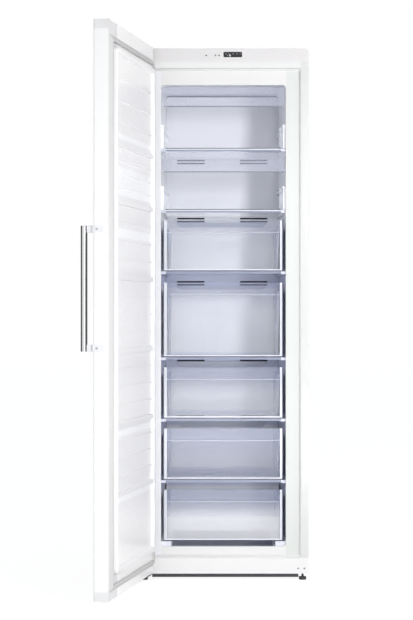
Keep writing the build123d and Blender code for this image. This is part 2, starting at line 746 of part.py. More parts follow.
# Bent steel pan: cabinet floor, machine compartment wall and ceiling, nuts and roller ears.
with BuildPart() as base_pan:
    block(
        -HALF + SHEET,
        HALF - SHEET,
        FRONT_RAIL_SHEET,
        CABINET_DEPTH - COVER_SHEET,
        CABINET_BOTTOM,
        PAN_TOP,
    )
    block(
        -HALF + SHEET, HALF - SHEET, BAY_FRONT - SHEET, BAY_FRONT, CABINET_BOTTOM, BAY_TOP + SHEET
    )
    block(
        -HALF + SHEET,
        HALF - SHEET,
        BAY_FRONT - SHEET,
        CABINET_DEPTH - COVER_SHEET,
        BAY_TOP,
        BAY_TOP + SHEET,
    )
    for side in (-1, 1):
        foot_x = side * (HALF - FOOT_INSET)
        post(foot_x, FOOT_DEPTH, CABINET_BOTTOM, PAN_TOP + NUT_HEIGHT, NUT_RADIUS)
        post(
            foot_x,
            FOOT_DEPTH,
            0,
            PAN_TOP + NUT_HEIGHT + OVERRUN,
            FOOT_STUD_RADIUS + THREAD_GAP,
            Mode.SUBTRACT,
        )
        roller_x = side * (HALF - ROLLER_INSET)
        for ear in (-1, 1):
            inner_face = roller_x + ear * (ROLLER_WIDTH / 2 + EAR_GAP)
            outer_face = inner_face + ear * EAR_SHEET
            block(
                min(inner_face, outer_face),
                max(inner_face, outer_face),
                ROLLER_DEPTH - EAR_REACH,
                ROLLER_DEPTH + EAR_REACH,
                ROLLER_RADIUS - EAR_DROP,
                PAN_TOP,
            )
        cross_bar(
            roller_x - ROLLER_WIDTH,
            roller_x + ROLLER_WIDTH,
            ROLLER_DEPTH,
            ROLLER_RADIUS,
            AXLE_RADIUS + SEAT_GAP,
            Mode.SUBTRACT,
        )
        block(
            roller_x - ROLLER_WIDTH / 2 - EAR_GAP,
            roller_x + ROLLER_WIDTH / 2 + EAR_GAP,
            ROLLER_DEPTH - ROLLER_RADIUS - ROLLER_POCKET,
            ROLLER_DEPTH + ROLLER_RADIUS + ROLLER_POCKET,
            CABINET_BOTTOM - OVERRUN,
            PAN_TOP + OVERRUN,
            Mode.SUBTRACT,
        )
    for x, depth in BOTTOM_SCREWS:
        post(x, depth, 0, PAN_TOP + OVERRUN, SCREW_SHANK_RADIUS, Mode.SUBTRACT)
    for dx in (-1, 1):
        for dy in (-1, 1):
            post(
                COMPRESSOR_LEFT + dx * COMPRESSOR_FOOT_SPREAD_X,
                COMPRESSOR_DEPTH + dy * COMPRESSOR_FOOT_SPREAD_Y,
                0,
                PAN_TOP + OVERRUN,
                MOUNT_BOLT_RADIUS,
                Mode.SUBTRACT,
            )
    ceiling_cut = (BAY_TOP - OVERRUN, BAY_TOP + SHEET + OVERRUN)
    for x, radius in ((SUCTION_LEFT, SUCTION_RADIUS), (DRAIN_LEFT, DRAIN_RADIUS)):
        post(x, PIPE_DEPTH, ceiling_cut[0], ceiling_cut[1], radius + SEAT_GAP, Mode.SUBTRACT)
    block(
        HALF - SHEET - 3 * TUBE_RADIUS,
        HALF,
        CONDENSER_FRONT - CONDENSER_PITCH / 2,
        CONDENSER_FRONT + (CONDENSER_RUNS - 0.5) * CONDENSER_PITCH,
        ceiling_cut[0],
        ceiling_cut[1],
        Mode.SUBTRACT,
    )
save(base_pan.part, "base_pan")

# White steel rail across the foot of the front, with two spare screw holes at the right.
with BuildPart() as lower_front_rail:
    block(-HALF, HALF, 0, FRONT_RAIL_SHEET, CABINET_BOTTOM, FRONT_RAIL_TOP)
    for x in SPARE_SCREWS:
        deep_bar(
            x,
            -OVERRUN,
            FRONT_RAIL_SHEET + OVERRUN,
            SPARE_SCREW_LEVEL,
            SPARE_SCREW_RADIUS + SEAT_GAP,
            Mode.SUBTRACT,
        )
save(lower_front_rail.part, "lower_front_rail")

# Black strip that hides the gap under the front rail.
with BuildPart() as base_strip:
    block(
        STRIP_LEFT,
        STRIP_RIGHT,
        STRIP_SETBACK,
        STRIP_SETBACK + STRIP_SHEET,
        STRIP_BOTTOM,
        CABINET_BOTTOM,
    )
    block(
        STRIP_LEFT,
        STRIP_RIGHT,
        STRIP_SETBACK,
        STRIP_SETBACK + STRIP_FLANGE,
        CABINET_BOTTOM - STRIP_SHEET,
        CABINET_BOTTOM,
    )
save(base_strip.part, "base_strip")

# ================================================================ control fascia
with BuildPart() as control_fascia:
    extrude(
        arch_face(0, HALF, FASCIA_BOTTOM, CABINET_HEIGHT, TOP_CORNER_RADIUS),
        amount=-FASCIA_DEPTH,
    )
    extrude(
        arch_face(
            FASCIA_WALL,
            HALF - FASCIA_WALL,
            FASCIA_BOTTOM + FASCIA_WALL,
            CABINET_HEIGHT - FASCIA_WALL,
            TOP_CORNER_RADIUS - FASCIA_WALL,
        ),
        amount=-FASCIA_DEPTH,
        mode=Mode.SUBTRACT,
    )
    window_hole = rounded_face(
        upright(-OVERRUN),
        (WINDOW_LEFT + WINDOW_WIDTH / 2, WINDOW_BOTTOM + WINDOW_HEIGHT / 2),
        WINDOW_WIDTH,
        WINDOW_HEIGHT,
        WINDOW_RADIUS,
    )
    extrude(window_hole, amount=-(FASCIA_WALL + 2 * OVERRUN), mode=Mode.SUBTRACT)
save(control_fascia.part, "control_fascia")

# Black window over the digits, flush with the fascia.
with BuildPart() as display_window:
    window_face = rounded_face(
        upright(0),
        (WINDOW_LEFT + WINDOW_WIDTH / 2, WINDOW_BOTTOM + WINDOW_HEIGHT / 2),
        WINDOW_WIDTH,
        WINDOW_HEIGHT,
        WINDOW_RADIUS,
    )
    extrude(window_face, amount=-FASCIA_WALL)
save(display_window.part, "display_window")

# Circuit board behind the window, with its display block and touch pads.
with BuildPart() as control_board:
    board_front = FASCIA_WALL + BOARD_SPACING
    block(
        WINDOW_LEFT - BOARD_LEFT_REACH,
        WINDOW_LEFT + WINDOW_WIDTH + BOARD_RIGHT_REACH,
        board_front,
        board_front + BOARD_THICKNESS,
        FASCIA_BOTTOM + FASCIA_WALL,
        CABINET_HEIGHT - FASCIA_WALL,
    )
    block(
        WINDOW_LEFT + DISPLAY_SIDE_MARGIN,
        WINDOW_LEFT + WINDOW_WIDTH - DISPLAY_SIDE_MARGIN,
        FASCIA_WALL,
        board_front,
        WINDOW_BOTTOM + DISPLAY_EDGE_MARGIN,
        WINDOW_BOTTOM + WINDOW_HEIGHT - DISPLAY_EDGE_MARGIN,
    )
    for pad in TOUCH_PADS:
        deep_bar(
            WINDOW_LEFT + pad,
            FASCIA_WALL,
            board_front,
            WINDOW_BOTTOM + TOUCH_PAD_RISE,
            TOUCH_PAD_RADIUS,
        )
save(control_board.part, "control_board")

# ================================================================ shelves
# Glass shelves, numbered from the lowest, cut to the taper of the side walls.
for number, level in enumerate(SHELF_LEVELS, start=1):
    front_half = wall_half_width(GLASS_FRONT) - GLASS_SIDE_GAP
    back_half = wall_half_width(GLASS_BACK) - GLASS_SIDE_GAP
    with BuildPart() as glass_shelf:
        with BuildSketch(Plane.XY.offset(level - GLASS)):
            with BuildLine():
                Polyline(
                    (-front_half, FRONT + GLASS_FRONT),
                    (front_half, FRONT + GLASS_FRONT),
                    (back_half, FRONT + GLASS_BACK),
                    (-back_half, FRONT + GLASS_BACK),
                    close=True,
                )
            make_face()
        extrude(amount=GLASS)
    save(glass_shelf.part, f"glass_shelf_{number}")

# Front trims, each slotted over the edge of a glass shelf, with an end cap at both sides.
with BuildPart() as shelf_trims:
    cap_outer = wall_half_width(TRIM_FRONT) - SEAT_GAP
    cap_inner = cap_outer - END_CAP_WIDTH
    glass_half = wall_half_width(GLASS_FRONT) - GLASS_SIDE_GAP
    for level in SHELF_LEVELS:
        block(
            -cap_inner,
            cap_inner,
            TRIM_FRONT,
            TRIM_FRONT + TRIM_DEPTH,
            level - TRIM_HEIGHT,
            level,
        )
        for side in (-1, 1):
            block(
                min(side * cap_inner, side * cap_outer),
                max(side * cap_inner, side * cap_outer),
                TRIM_FRONT - END_CAP_PROUD,
                TRIM_FRONT + TRIM_DEPTH,
                level - TRIM_HEIGHT - END_CAP_PROUD,
                level,
            )
        block(
            -glass_half,
            glass_half,
            GLASS_FRONT,
            TRIM_FRONT + TRIM_DEPTH + OVERRUN,
            level - GLASS,
            level + OVERRUN,
            Mode.SUBTRACT,
        )
save(shelf_trims.part, "shelf_trims")


# ================================================================ drawers
def drawer_back(level):
    """Depth of a drawer's back: the lowest drawer stops before the hump."""
    limit = HUMP_DEPTH if level < HUMP_TOP else DUCT_COVER_FACE - DUCT_PANEL_PROUD
    return limit - TUB_BACK_GAP


def drawer_tub(level, height):
    """Clear tub that narrows towards its floor, with a rolled rim."""
    front = DRAWER_FACE + DRAWER_FRONT_PLATE
    back = drawer_back(level)
    length = back - front
    middle = (0, FRONT + (front + back) / 2)
    bottom = level + DRAWER_LIFT
    top = level + height - TUB_DROP
    draw_in = TUB_TOP_HALF_WIDTH - TUB_BOTTOM_HALF_WIDTH

    def level_face(z, half_width, inset, radius):
        return rounded_face(
            Plane.XY.offset(z), middle, 2 * half_width, length - 2 * inset, radius
        )

    inner_bottom = TUB_BOTTOM_HALF_WIDTH - TUB_WALL
    inner_top = TUB_TOP_HALF_WIDTH - TUB_WALL
    with BuildPart() as tub:
        loft(
            [
                level_face(bottom, TUB_BOTTOM_HALF_WIDTH, draw_in, TUB_RADIUS),
                level_face(top, TUB_TOP_HALF_WIDTH, 0, TUB_RADIUS),
            ]
        )
        rim = rounded_face(
            Plane.XY.offset(top - TUB_RIM),
            middle,
            2 * (TUB_TOP_HALF_WIDTH + TUB_RIM),
            length,
            TUB_RADIUS,
        )
        extrude(rim, amount=TUB_RIM)
        loft(
            [
                level_face(bottom + TUB_WALL, inner_bottom, draw_in + TUB_WALL, TUB_RADIUS - TUB_WALL),
                level_face(top + OVERRUN, inner_top, TUB_WALL, TUB_RADIUS - TUB_WALL),
            ],
            mode=Mode.SUBTRACT,
        )
    return tub.part


def drawer_front(level, height):
    """Clear front plate with a raised rim, a bottom lip, a grip line and a curled top edge."""
    half = DRAWER_FRONT_HALF_WIDTH
    bottom = level + DRAWER_LIFT
    top = level + height
    back = DRAWER_FACE + DRAWER_FRONT_PLATE
    proud = DRAWER_FACE - FRONT_RIM_PROUD
    with BuildPart() as plate:
        block(-half, half, DRAWER_FACE, back, bottom, top)
        for side in (-1, 1):
            edges = sorted((side * half, side * (half - FRONT_RIM_WIDTH)))
            block(edges[0], edges[1], proud, DRAWER_FACE, bottom, top)
        block(-half, half, proud, DRAWER_FACE, bottom, bottom + FRONT_LIP_HEIGHT)
        block(
            -half,
            half,
            DRAWER_FACE - FRONT_RIM_PROUD / 2,
            DRAWER_FACE,
            top - GRIP_BAND - FRONT_RIM_PROUD,
            top - GRIP_BAND,
        )
        block(
            -half + FRONT_RIM_WIDTH,
            half - FRONT_RIM_WIDTH,
            back,
            back + GRIP_DEPTH,
            top - FRONT_RIM_PROUD,
            top,
        )
        corners = plate.edges().filter_by(Axis.Z).group_by(Axis.Y)[0]
        chamfer(corners.sort_by(Axis.X)[0], FRONT_CHAMFER)
        corners = plate.edges().filter_by(Axis.Z).group_by(Axis.Y)[0]
        chamfer(corners.sort_by(Axis.X)[-1], FRONT_CHAMFER)
    return plate.part


for number, (level, height) in enumerate(zip(DRAWER_LEVELS, DRAWER_HEIGHTS), start=1):
    save(drawer_tub(level, height), f"drawer_tub_{number}")
    save(drawer_front(level, height), f"drawer_front_{number}")


# ================================================================ flaps
def flap(top):
    """Clear flap with a barrel along its top edge, two pivot pins and a curled lower lip."""
    pivot_depth = FLAP_FACE + FLAP_BARREL_RADIUS
    pivot_level = top - FLAP_BARREL_RADIUS
    middle = (0, top - FLAP_BARREL_RADIUS - FLAP_DROP / 2)
    with BuildPart() as panel:
        with BuildSketch(upright(FLAP_FACE)) as face:
            with Locations(middle):
                Rectangle(2 * FLAP_HALF_WIDTH, FLAP_DROP)
            fillet(face.vertices().group_by(Axis.Y)[0], FLAP_CORNER_RADIUS)
        extrude(amount=-FLAP_SHEET)
        block(
            -FLAP_HALF_WIDTH + FLAP_CORNER_RADIUS,
            FLAP_HALF_WIDTH - FLAP_CORNER_RADIUS,
            FLAP_FACE,
            FLAP_FACE + 2 * FLAP_SHEET,
            pivot_level - FLAP_DROP,
            pivot_level - FLAP_DROP + FLAP_SHEET,
        )
        cross_bar(
            -FLAP_HALF_WIDTH, FLAP_HALF_WIDTH, pivot_depth, pivot_level, FLAP_BARREL_RADIUS
        )
        cross_bar(
            -OPENING_HALF_WIDTH - LINER_WALL / 2,
            OPENING_HALF_WIDTH + LINER_WALL / 2,
            pivot_depth,
            pivot_level,
            FLAP_PIN_RADIUS,
        )
    return panel.part


save(flap(FLAP_TOPS[1]), "flap_upper")
save(flap(FLAP_TOPS[0]), "flap_lower")

# ================================================================ cold circuit
# Cover of the air duct at the back of the cavity, with pairs of air slots under the shelves.
with BuildPart() as air_duct_cover:
    cover_half = wall_half_width(DUCT_COVER_FACE + DUCT_COVER_SHEET) - SEAT_GAP
    cover_top = CAVITY_BACK_TOP - DUCT_COVER_DROP
    cover_face = arch_face(
        DUCT_COVER_FACE, cover_half, HUMP_TOP + SEAT_GAP, cover_top, CAVITY_RADIUS
    )
    extrude(cover_face, amount=-DUCT_COVER_SHEET)
    block(
        -DUCT_PANEL_HALF_WIDTH,
        DUCT_PANEL_HALF_WIDTH,
        DUCT_COVER_FACE - DUCT_PANEL_PROUD,
        DUCT_COVER_FACE,
        HUMP_TOP + DUCT_PANEL_MARGIN,
        cover_top - DUCT_PANEL_MARGIN,
    )
    block(
        -SLOT_SIDE - SLOT_LENGTH / 2,
        SLOT_SIDE + SLOT_LENGTH / 2,
        DUCT_COVER_FACE - OUTLET_PROUD,
        DUCT_COVER_FACE,
        OPENING_TOP - SLOT_HEIGHT,
        cover_top - OUTLET_TOP_GAP,
    )
    slot_cut = OUTLET_PROUD + DUCT_COVER_SHEET + 2 * OVERRUN
    for level, drop in zip(SHELF_LEVELS[1:], SLOT_DROPS):
        for side in (-1, 1):
            for row in (0, 1):
                slot_middle = (side * SLOT_SIDE, level - drop - row * SLOT_PITCH)
                slot = rounded_face(
                    upright(DUCT_COVER_FACE - OUTLET_PROUD - OVERRUN),
                    slot_middle,
                    SLOT_LENGTH,
                    SLOT_HEIGHT,
                    SLOT_HEIGHT / 2 - SLOT_FLAT,
                )
                extrude(slot, amount=-slot_cut, mode=Mode.SUBTRACT)
save(air_duct_cover.part, "air_duct_cover")

# Evaporator: one serpentine tube through upright fins, seated on the liner's back wall.
EVAPORATOR_MIDDLE = CAVITY_BACK - EVAPORATOR_THICKNESS / 2
EVAPORATOR_ROW_PITCH = EVAPORATOR_HEIGHT / EVAPORATOR_ROWS
with BuildPart() as evaporator:
    rows = []
    for row in range(EVAPORATOR_ROWS):
        level = EVAPORATOR_BOTTOM + (row + 0.5) * EVAPORATOR_ROW_PITCH
        ends = (-EVAPORATOR_HALF_WIDTH - TUBE_BEND, EVAPORATOR_HALF_WIDTH + TUBE_BEND)
        for x in ends if row % 2 == 0 else reversed(ends):
            rows.append((x, FRONT + EVAPORATOR_MIDDLE, level))
    add(bent_tube(rows, SUCTION_RADIUS, TUBE_BEND))
    for fin in range(FIN_COUNT):
        fin_x = -EVAPORATOR_HALF_WIDTH + fin * 2 * EVAPORATOR_HALF_WIDTH / (FIN_COUNT - 1)
        block(
            fin_x - FIN_SHEET / 2,
            fin_x + FIN_SHEET / 2,
            CAVITY_BACK - EVAPORATOR_THICKNESS,
            CAVITY_BACK,
            EVAPORATOR_BOTTOM,
            EVAPORATOR_BOTTOM + EVAPORATOR_HEIGHT,
        )
save(evaporator.part, "evaporator")

# Fan motor on the back wall above the evaporator, with its shaft towards the front.
ROTOR_BACK = CAVITY_BACK - FAN_MOTOR_DEPTH - 2 * SEAT_GAP
with BuildPart() as fan_motor:
    deep_bar(0, CAVITY_BACK - FAN_MOTOR_DEPTH, CAVITY_BACK, FAN_LEVEL, FAN_MOTOR_RADIUS)
    block(
        -FAN_RADIUS,
        FAN_RADIUS,
        CAVITY_BACK - FAN_BAR_SHEET,
        CAVITY_BACK,
        FAN_LEVEL - FAN_BAR_HALF_HEIGHT,
        FAN_LEVEL + FAN_BAR_HALF_HEIGHT,
    )
    deep_bar(
        0,
        ROTOR_BACK - ROTOR_DEPTH - SHAFT_PAST,
        CAVITY_BACK - FAN_MOTOR_DEPTH,
        FAN_LEVEL,
        FAN_SHAFT_RADIUS,
    )
save(fan_motor.part, "fan_motor")

# Fan rotor: a hub on the motor's shaft and pitched blades.
with BuildPart() as fan_rotor:
    deep_bar(0, ROTOR_BACK - ROTOR_DEPTH, ROTOR_BACK, FAN_LEVEL, FAN_HUB_RADIUS)
    blade_plane = Plane(
        origin=(0, FRONT + ROTOR_BACK - ROTOR_DEPTH / 2, FAN_LEVEL), x_dir=(1, 0, 0), z_dir=(0, -1, 0)
    )
    blade_middle = (FAN_HUB_RADIUS + FAN_RADIUS - BLADE_ROOT) / 2
    with Locations(blade_plane):
        with PolarLocations(0, FAN_BLADES):
            with Locations(Location((blade_middle, 0, 0), (BLADE_ANGLE, 0, 0))):
                Box(FAN_RADIUS - FAN_HUB_RADIUS + BLADE_ROOT, BLADE_WIDTH, BLADE_SHEET)
    deep_bar(
        0,
        ROTOR_BACK - 2 * ROTOR_DEPTH,
        ROTOR_BACK + OVERRUN,
        FAN_LEVEL,
        FAN_SHAFT_RADIUS + HINGE_RUNNING_GAP,
        Mode.SUBTRACT,
    )
save(fan_rotor.part, "fan_rotor")

# Compressor: a welded steel shell on a foot plate, with its terminal box.
PAD_TOP = PAN_TOP + COMPRESSOR_LIFT
SHELL_BOTTOM = PAD_TOP + COMPRESSOR_FOOT_SHEET
SHELL_TOP = SHELL_BOTTOM + COMPRESSOR_BODY + 2 * COMPRESSOR_DOME
SHELL_Y = FRONT + COMPRESSOR_DEPTH
with BuildPart() as compressor:
    block(
        COMPRESSOR_LEFT - COMPRESSOR_FOOT_SPREAD_X - GROMMET_RADIUS,
        COMPRESSOR_LEFT + COMPRESSOR_FOOT_SPREAD_X + GROMMET_RADIUS,
        COMPRESSOR_DEPTH - COMPRESSOR_FOOT_SPREAD_Y - GROMMET_RADIUS,
        COMPRESSOR_DEPTH + COMPRESSOR_FOOT_SPREAD_Y + GROMMET_RADIUS,
        PAD_TOP,
        SHELL_BOTTOM,
    )
    with BuildSketch(Plane.XZ.offset(-SHELL_Y)):
        with BuildLine():
            Polyline(
                (COMPRESSOR_LEFT, SHELL_BOTTOM - OVERRUN),
                (COMPRESSOR_LEFT + COMPRESSOR_SEAT_RADIUS, SHELL_BOTTOM - OVERRUN),
                (COMPRESSOR_LEFT + COMPRESSOR_RADIUS, SHELL_BOTTOM + COMPRESSOR_DOME),
                (COMPRESSOR_LEFT + COMPRESSOR_RADIUS, SHELL_TOP - COMPRESSOR_DOME),
            )
            Spline(
                (COMPRESSOR_LEFT + COMPRESSOR_RADIUS, SHELL_TOP - COMPRESSOR_DOME),
                (COMPRESSOR_LEFT, SHELL_TOP),
                tangents=((0, 1), (-1, 0)),
            )
            Line((COMPRESSOR_LEFT, SHELL_TOP), (COMPRESSOR_LEFT, SHELL_BOTTOM - OVERRUN))
        make_face()
    revolve(axis=Axis((COMPRESSOR_LEFT, SHELL_Y, 0), (0, 0, 1)))
    block(
        COMPRESSOR_LEFT - COMPRESSOR_RADIUS - TERMINAL_PROUD,
        COMPRESSOR_LEFT - COMPRESSOR_RADIUS + TERMINAL_SINK,
        COMPRESSOR_DEPTH - TERMINAL_HALF_WIDTH,
        COMPRESSOR_DEPTH + TERMINAL_HALF_WIDTH,
        SHELL_BOTTOM + COMPRESSOR_DOME + TERMINAL_RISE,
        SHELL_BOTTOM + COMPRESSOR_DOME + TERMINAL_RISE + TERMINAL_HEIGHT,
    )
    for dx in (-1, 1):
        for dy in (-1, 1):
            post(
                COMPRESSOR_LEFT + dx * COMPRESSOR_FOOT_SPREAD_X,
                COMPRESSOR_DEPTH + dy * COMPRESSOR_FOOT_SPREAD_Y,
                PAN_TOP,
                SHELL_BOTTOM + OVERRUN,
                MOUNT_BOLT_RADIUS,
                Mode.SUBTRACT,
            )
save(compressor.part, "compressor")

# Rubber grommets under the compressor's foot plate, each held by a bolt.
with BuildPart() as compressor_mounts:
    for dx in (-1, 1):
        for dy in (-1, 1):
            x = COMPRESSOR_LEFT + dx * COMPRESSOR_FOOT_SPREAD_X
            depth = COMPRESSOR_DEPTH + dy * COMPRESSOR_FOOT_SPREAD_Y
            post(x, depth, PAN_TOP, PAD_TOP, GROMMET_RADIUS)
            nut_top = SHELL_BOTTOM + MOUNT_NUT_HEIGHT
            post(x, depth, CABINET_BOTTOM, nut_top + OVERRUN, MOUNT_BOLT_RADIUS - SEAT_GAP)
            post(x, depth, SHELL_BOTTOM, nut_top, MOUNT_NUT_RADIUS)
save(compressor_mounts.part, "compressor_mounts")

# Condenser serpentine on the inside of the right wall, discharge line, drier and suction line.
CONDENSER_X = HALF - SHEET - TUBE_RADIUS - SEAT_GAP
CONDENSER_BACK = CONDENSER_FRONT + (CONDENSER_RUNS - 1) * CONDENSER_PITCH
SHELL_RIGHT = COMPRESSOR_LEFT + COMPRESSOR_RADIUS + SEAT_GAP
SHELL_LEFT = COMPRESSOR_LEFT - COMPRESSOR_RADIUS - SEAT_GAP
with BuildPart() as refrigerant_tubes:
    line_y = FRONT + COMPRESSOR_DEPTH
    route = [
        (SHELL_RIGHT, line_y, DISCHARGE_LEVEL),
        (SHELL_RIGHT + 2 * TUBE_BEND, line_y, DISCHARGE_LEVEL),
        (SHELL_RIGHT + 2 * TUBE_BEND, line_y, CROSSING_LEVEL),
        (CONDENSER_X, FRONT + CONDENSER_FRONT, CROSSING_LEVEL),
    ]
    for run in range(CONDENSER_RUNS):
        y = FRONT + CONDENSER_FRONT + run * CONDENSER_PITCH
        ends = [CONDENSER_BOTTOM, CONDENSER_TOP]
        if run % 2 == 1:
            ends.reverse()
        if run == 0:
            ends = [CONDENSER_TOP]
        if run == CONDENSER_RUNS - 1:
            ends = [CONDENSER_TOP, DRIER_TOP]
        for z in ends:
            route.append((CONDENSER_X, y, z))
    add(bent_tube(route, TUBE_RADIUS, TUBE_BEND))
    drier_x = HALF - SHEET - DRIER_RADIUS - SEAT_GAP
    post(drier_x, CONDENSER_BACK, DRIER_TOP - DRIER_LENGTH, DRIER_TOP, DRIER_RADIUS)
    pipe_y = FRONT + PIPE_DEPTH
    first_row = EVAPORATOR_BOTTOM + EVAPORATOR_ROW_PITCH / 2
    suction = [
        (SHELL_LEFT, pipe_y, SUCTION_LEVEL),
        (SUCTION_LEFT, pipe_y, SUCTION_LEVEL),
        (SUCTION_LEFT, pipe_y, first_row - SUCTION_RADIUS - SEAT_GAP),
    ]
    add(bent_tube(suction, SUCTION_RADIUS, TUBE_BEND))
save(refrigerant_tubes.part, "refrigerant_tubes")

# Tray on top of the compressor that catches and dries the defrost water.
with BuildPart() as drip_tray:
    tray_bottom = SHELL_TOP + SEAT_GAP
    block(
        COMPRESSOR_LEFT - TRAY_HALF_LENGTH,
        COMPRESSOR_LEFT + TRAY_HALF_LENGTH,
        COMPRESSOR_DEPTH - TRAY_HALF_WIDTH,
        COMPRESSOR_DEPTH + TRAY_HALF_WIDTH,
        tray_bottom,
        tray_bottom + TRAY_HEIGHT,
    )
    fillet(drip_tray.edges().filter_by(Axis.Z), TRAY_RADIUS)
    offset(amount=-TRAY_WALL, openings=drip_tray.faces().sort_by(Axis.Z)[-1])
save(drip_tray.part, "drip_tray")

# Tube that leads defrost water from the hump down to the tray.
with BuildPart() as drain_tube:
    post(DRAIN_LEFT, PIPE_DEPTH, tray_bottom + TRAY_HEIGHT / 2, HUMP_TOP, DRAIN_RADIUS)
    flange_top = HUMP_TOP + DRAIN_FLANGE_SHEET
    post(DRAIN_LEFT, PIPE_DEPTH, HUMP_TOP, flange_top, DRAIN_RADIUS + DRAIN_FLANGE)
    post(
        DRAIN_LEFT,
        PIPE_DEPTH,
        0,
        flange_top + OVERRUN,
        DRAIN_RADIUS - DRAIN_WALL,
        Mode.SUBTRACT,
    )
save(drain_tube.part, "drain_tube")

# Slotted cover over the machine compartment, with the hole for the cable inlet.
with BuildPart() as rear_cover:
    block(
        -HALF + SHEET,
        HALF - SHEET,
        CABINET_DEPTH - COVER_SHEET,
        CABINET_DEPTH,
        CABINET_BOTTOM,
        BAY_TOP + SHEET,
    )
    for side in (-1, 1):
        for row in range(COVER_SLOTS):
            slot = rounded_face(
                upright(CABINET_DEPTH - COVER_SHEET - OVERRUN),
                (
                    side * COVER_SLOT_SIDE,
                    (CABINET_BOTTOM + BAY_TOP) / 2 + (row - (COVER_SLOTS - 1) / 2) * COVER_SLOT_PITCH,
                ),
                COVER_SLOT_LENGTH,
                COVER_SLOT_HEIGHT,
                COVER_SLOT_HEIGHT / 2 - SLOT_FLAT,
            )
            extrude(slot, amount=-(COVER_SHEET + 2 * OVERRUN), mode=Mode.SUBTRACT)
    deep_bar(
        INLET_LEFT,
        CABINET_DEPTH - COVER_SHEET - OVERRUN,
        CABINET_DEPTH + OVERRUN,
        INLET_HEIGHT,
        INLET_RADIUS + SEAT_GAP,
        Mode.SUBTRACT,
    )
save(rear_cover.part, "rear_cover")

# Grommet where the mains lead enters.
with BuildPart() as cable_inlet:
    inlet_front = CABINET_DEPTH - INLET_LENGTH
    deep_bar(INLET_LEFT, inlet_front, CABINET_DEPTH, INLET_HEIGHT, INLET_RADIUS)
    deep_bar(
        INLET_LEFT,
        inlet_front,
        CABINET_DEPTH - COVER_SHEET,
        INLET_HEIGHT,
        INLET_RADIUS + INLET_FLANGE,
    )
    deep_bar(
        INLET_LEFT,
        inlet_front - OVERRUN,
        CABINET_DEPTH + OVERRUN,
        INLET_HEIGHT,
        INLET_BORE_RADIUS,
        Mode.SUBTRACT,
    )
save(cable_inlet.part, "cable_inlet")

# ================================================================ hinges
def hinge_plate(bottom, back, screws):
    """A steel plate under or over the cabinet's corner with a nose that holds the pin."""
    left = -HALF
    right = left + HINGE_PLATE_WIDTH
    with BuildPart() as plate:
        with BuildSketch(Plane.XY.offset(bottom)):
            with BuildLine():
                Polyline(
                    (left, FRONT + back),
                    (right, FRONT + back),
                    (right, FRONT - NOSE_START),
                    (HINGE_X + HINGE_INSET, HINGE_Y),
                    (left, HINGE_Y),
                    close=True,
                )
            make_face()
            with Locations((HINGE_X, HINGE_Y)):
                Circle(HINGE_INSET)
        extrude(amount=HINGE_PLATE)
        post(
            HINGE_X,
            -HINGE_FORWARD,
            bottom - OVERRUN,
            bottom + HINGE_PLATE + OVERRUN,
            HINGE_PIN_RADIUS + SEAT_GAP,
            Mode.SUBTRACT,
        )
        for x, depth in screws:
            post(
                x,
                depth,
                bottom - OVERRUN,
                bottom + HINGE_PLATE + OVERRUN,
                SCREW_SHANK_RADIUS,
                Mode.SUBTRACT,
            )
    return plate.part


save(hinge_plate(CABINET_HEIGHT, TOP_PLATE_BACK, TOP_SCREWS), "top_hinge_bracket")

LOWER_PLATE_BOTTOM = CABINET_BOTTOM - HINGE_PLATE
with BuildPart() as bottom_hinge_bracket:
    add(hinge_plate(LOWER_PLATE_BOTTOM, BOTTOM_PLATE_BACK, BOTTOM_SCREWS))
    post(
        -HALF + FOOT_INSET,
        FOOT_DEPTH,
        LOWER_PLATE_BOTTOM - OVERRUN,
        CABINET_BOTTOM + OVERRUN,
        FOOT_STUD_RADIUS + STUD_CLEARANCE,
        Mode.SUBTRACT,
    )
save(bottom_hinge_bracket.part, "bottom_hinge_bracket")

# Plastic cap that hides the screws of the top bracket.
UPPER_PLATE_TOP = CABINET_HEIGHT + HINGE_PLATE
with BuildPart() as top_hinge_cover:
    cover_right = -HALF + HINGE_PLATE_WIDTH + SEAT_GAP + HINGE_COVER_WALL
    cover_back = TOP_PLATE_BACK + SEAT_GAP + HINGE_COVER_WALL
    block(
        -HALF,
        cover_right,
        HINGE_COVER_FRONT,
        cover_back,
        CABINET_HEIGHT,
        CABINET_HEIGHT + HINGE_COVER_HEIGHT,
    )
    fillet(top_hinge_cover.faces().sort_by(Axis.Z)[-1].edges(), HINGE_COVER_WALL)
    block(
        -HALF + HINGE_COVER_WALL,
        cover_right - HINGE_COVER_WALL,
        HINGE_COVER_FRONT + HINGE_COVER_WALL,
        cover_back - HINGE_COVER_WALL,
        CABINET_HEIGHT - OVERRUN,
        CABINET_HEIGHT + HINGE_COVER_HEIGHT - HINGE_COVER_WALL,
        Mode.SUBTRACT,
    )
    block(
        -HALF - OVERRUN,
        cover_right - HINGE_COVER_WALL,
        HINGE_COVER_FRONT - OVERRUN,
        cover_back - HINGE_COVER_WALL,
        CABINET_HEIGHT - OVERRUN,
        UPPER_PLATE_TOP + SEAT_GAP,
        Mode.SUBTRACT,
    )
save(top_hinge_cover.part, "top_hinge_cover")

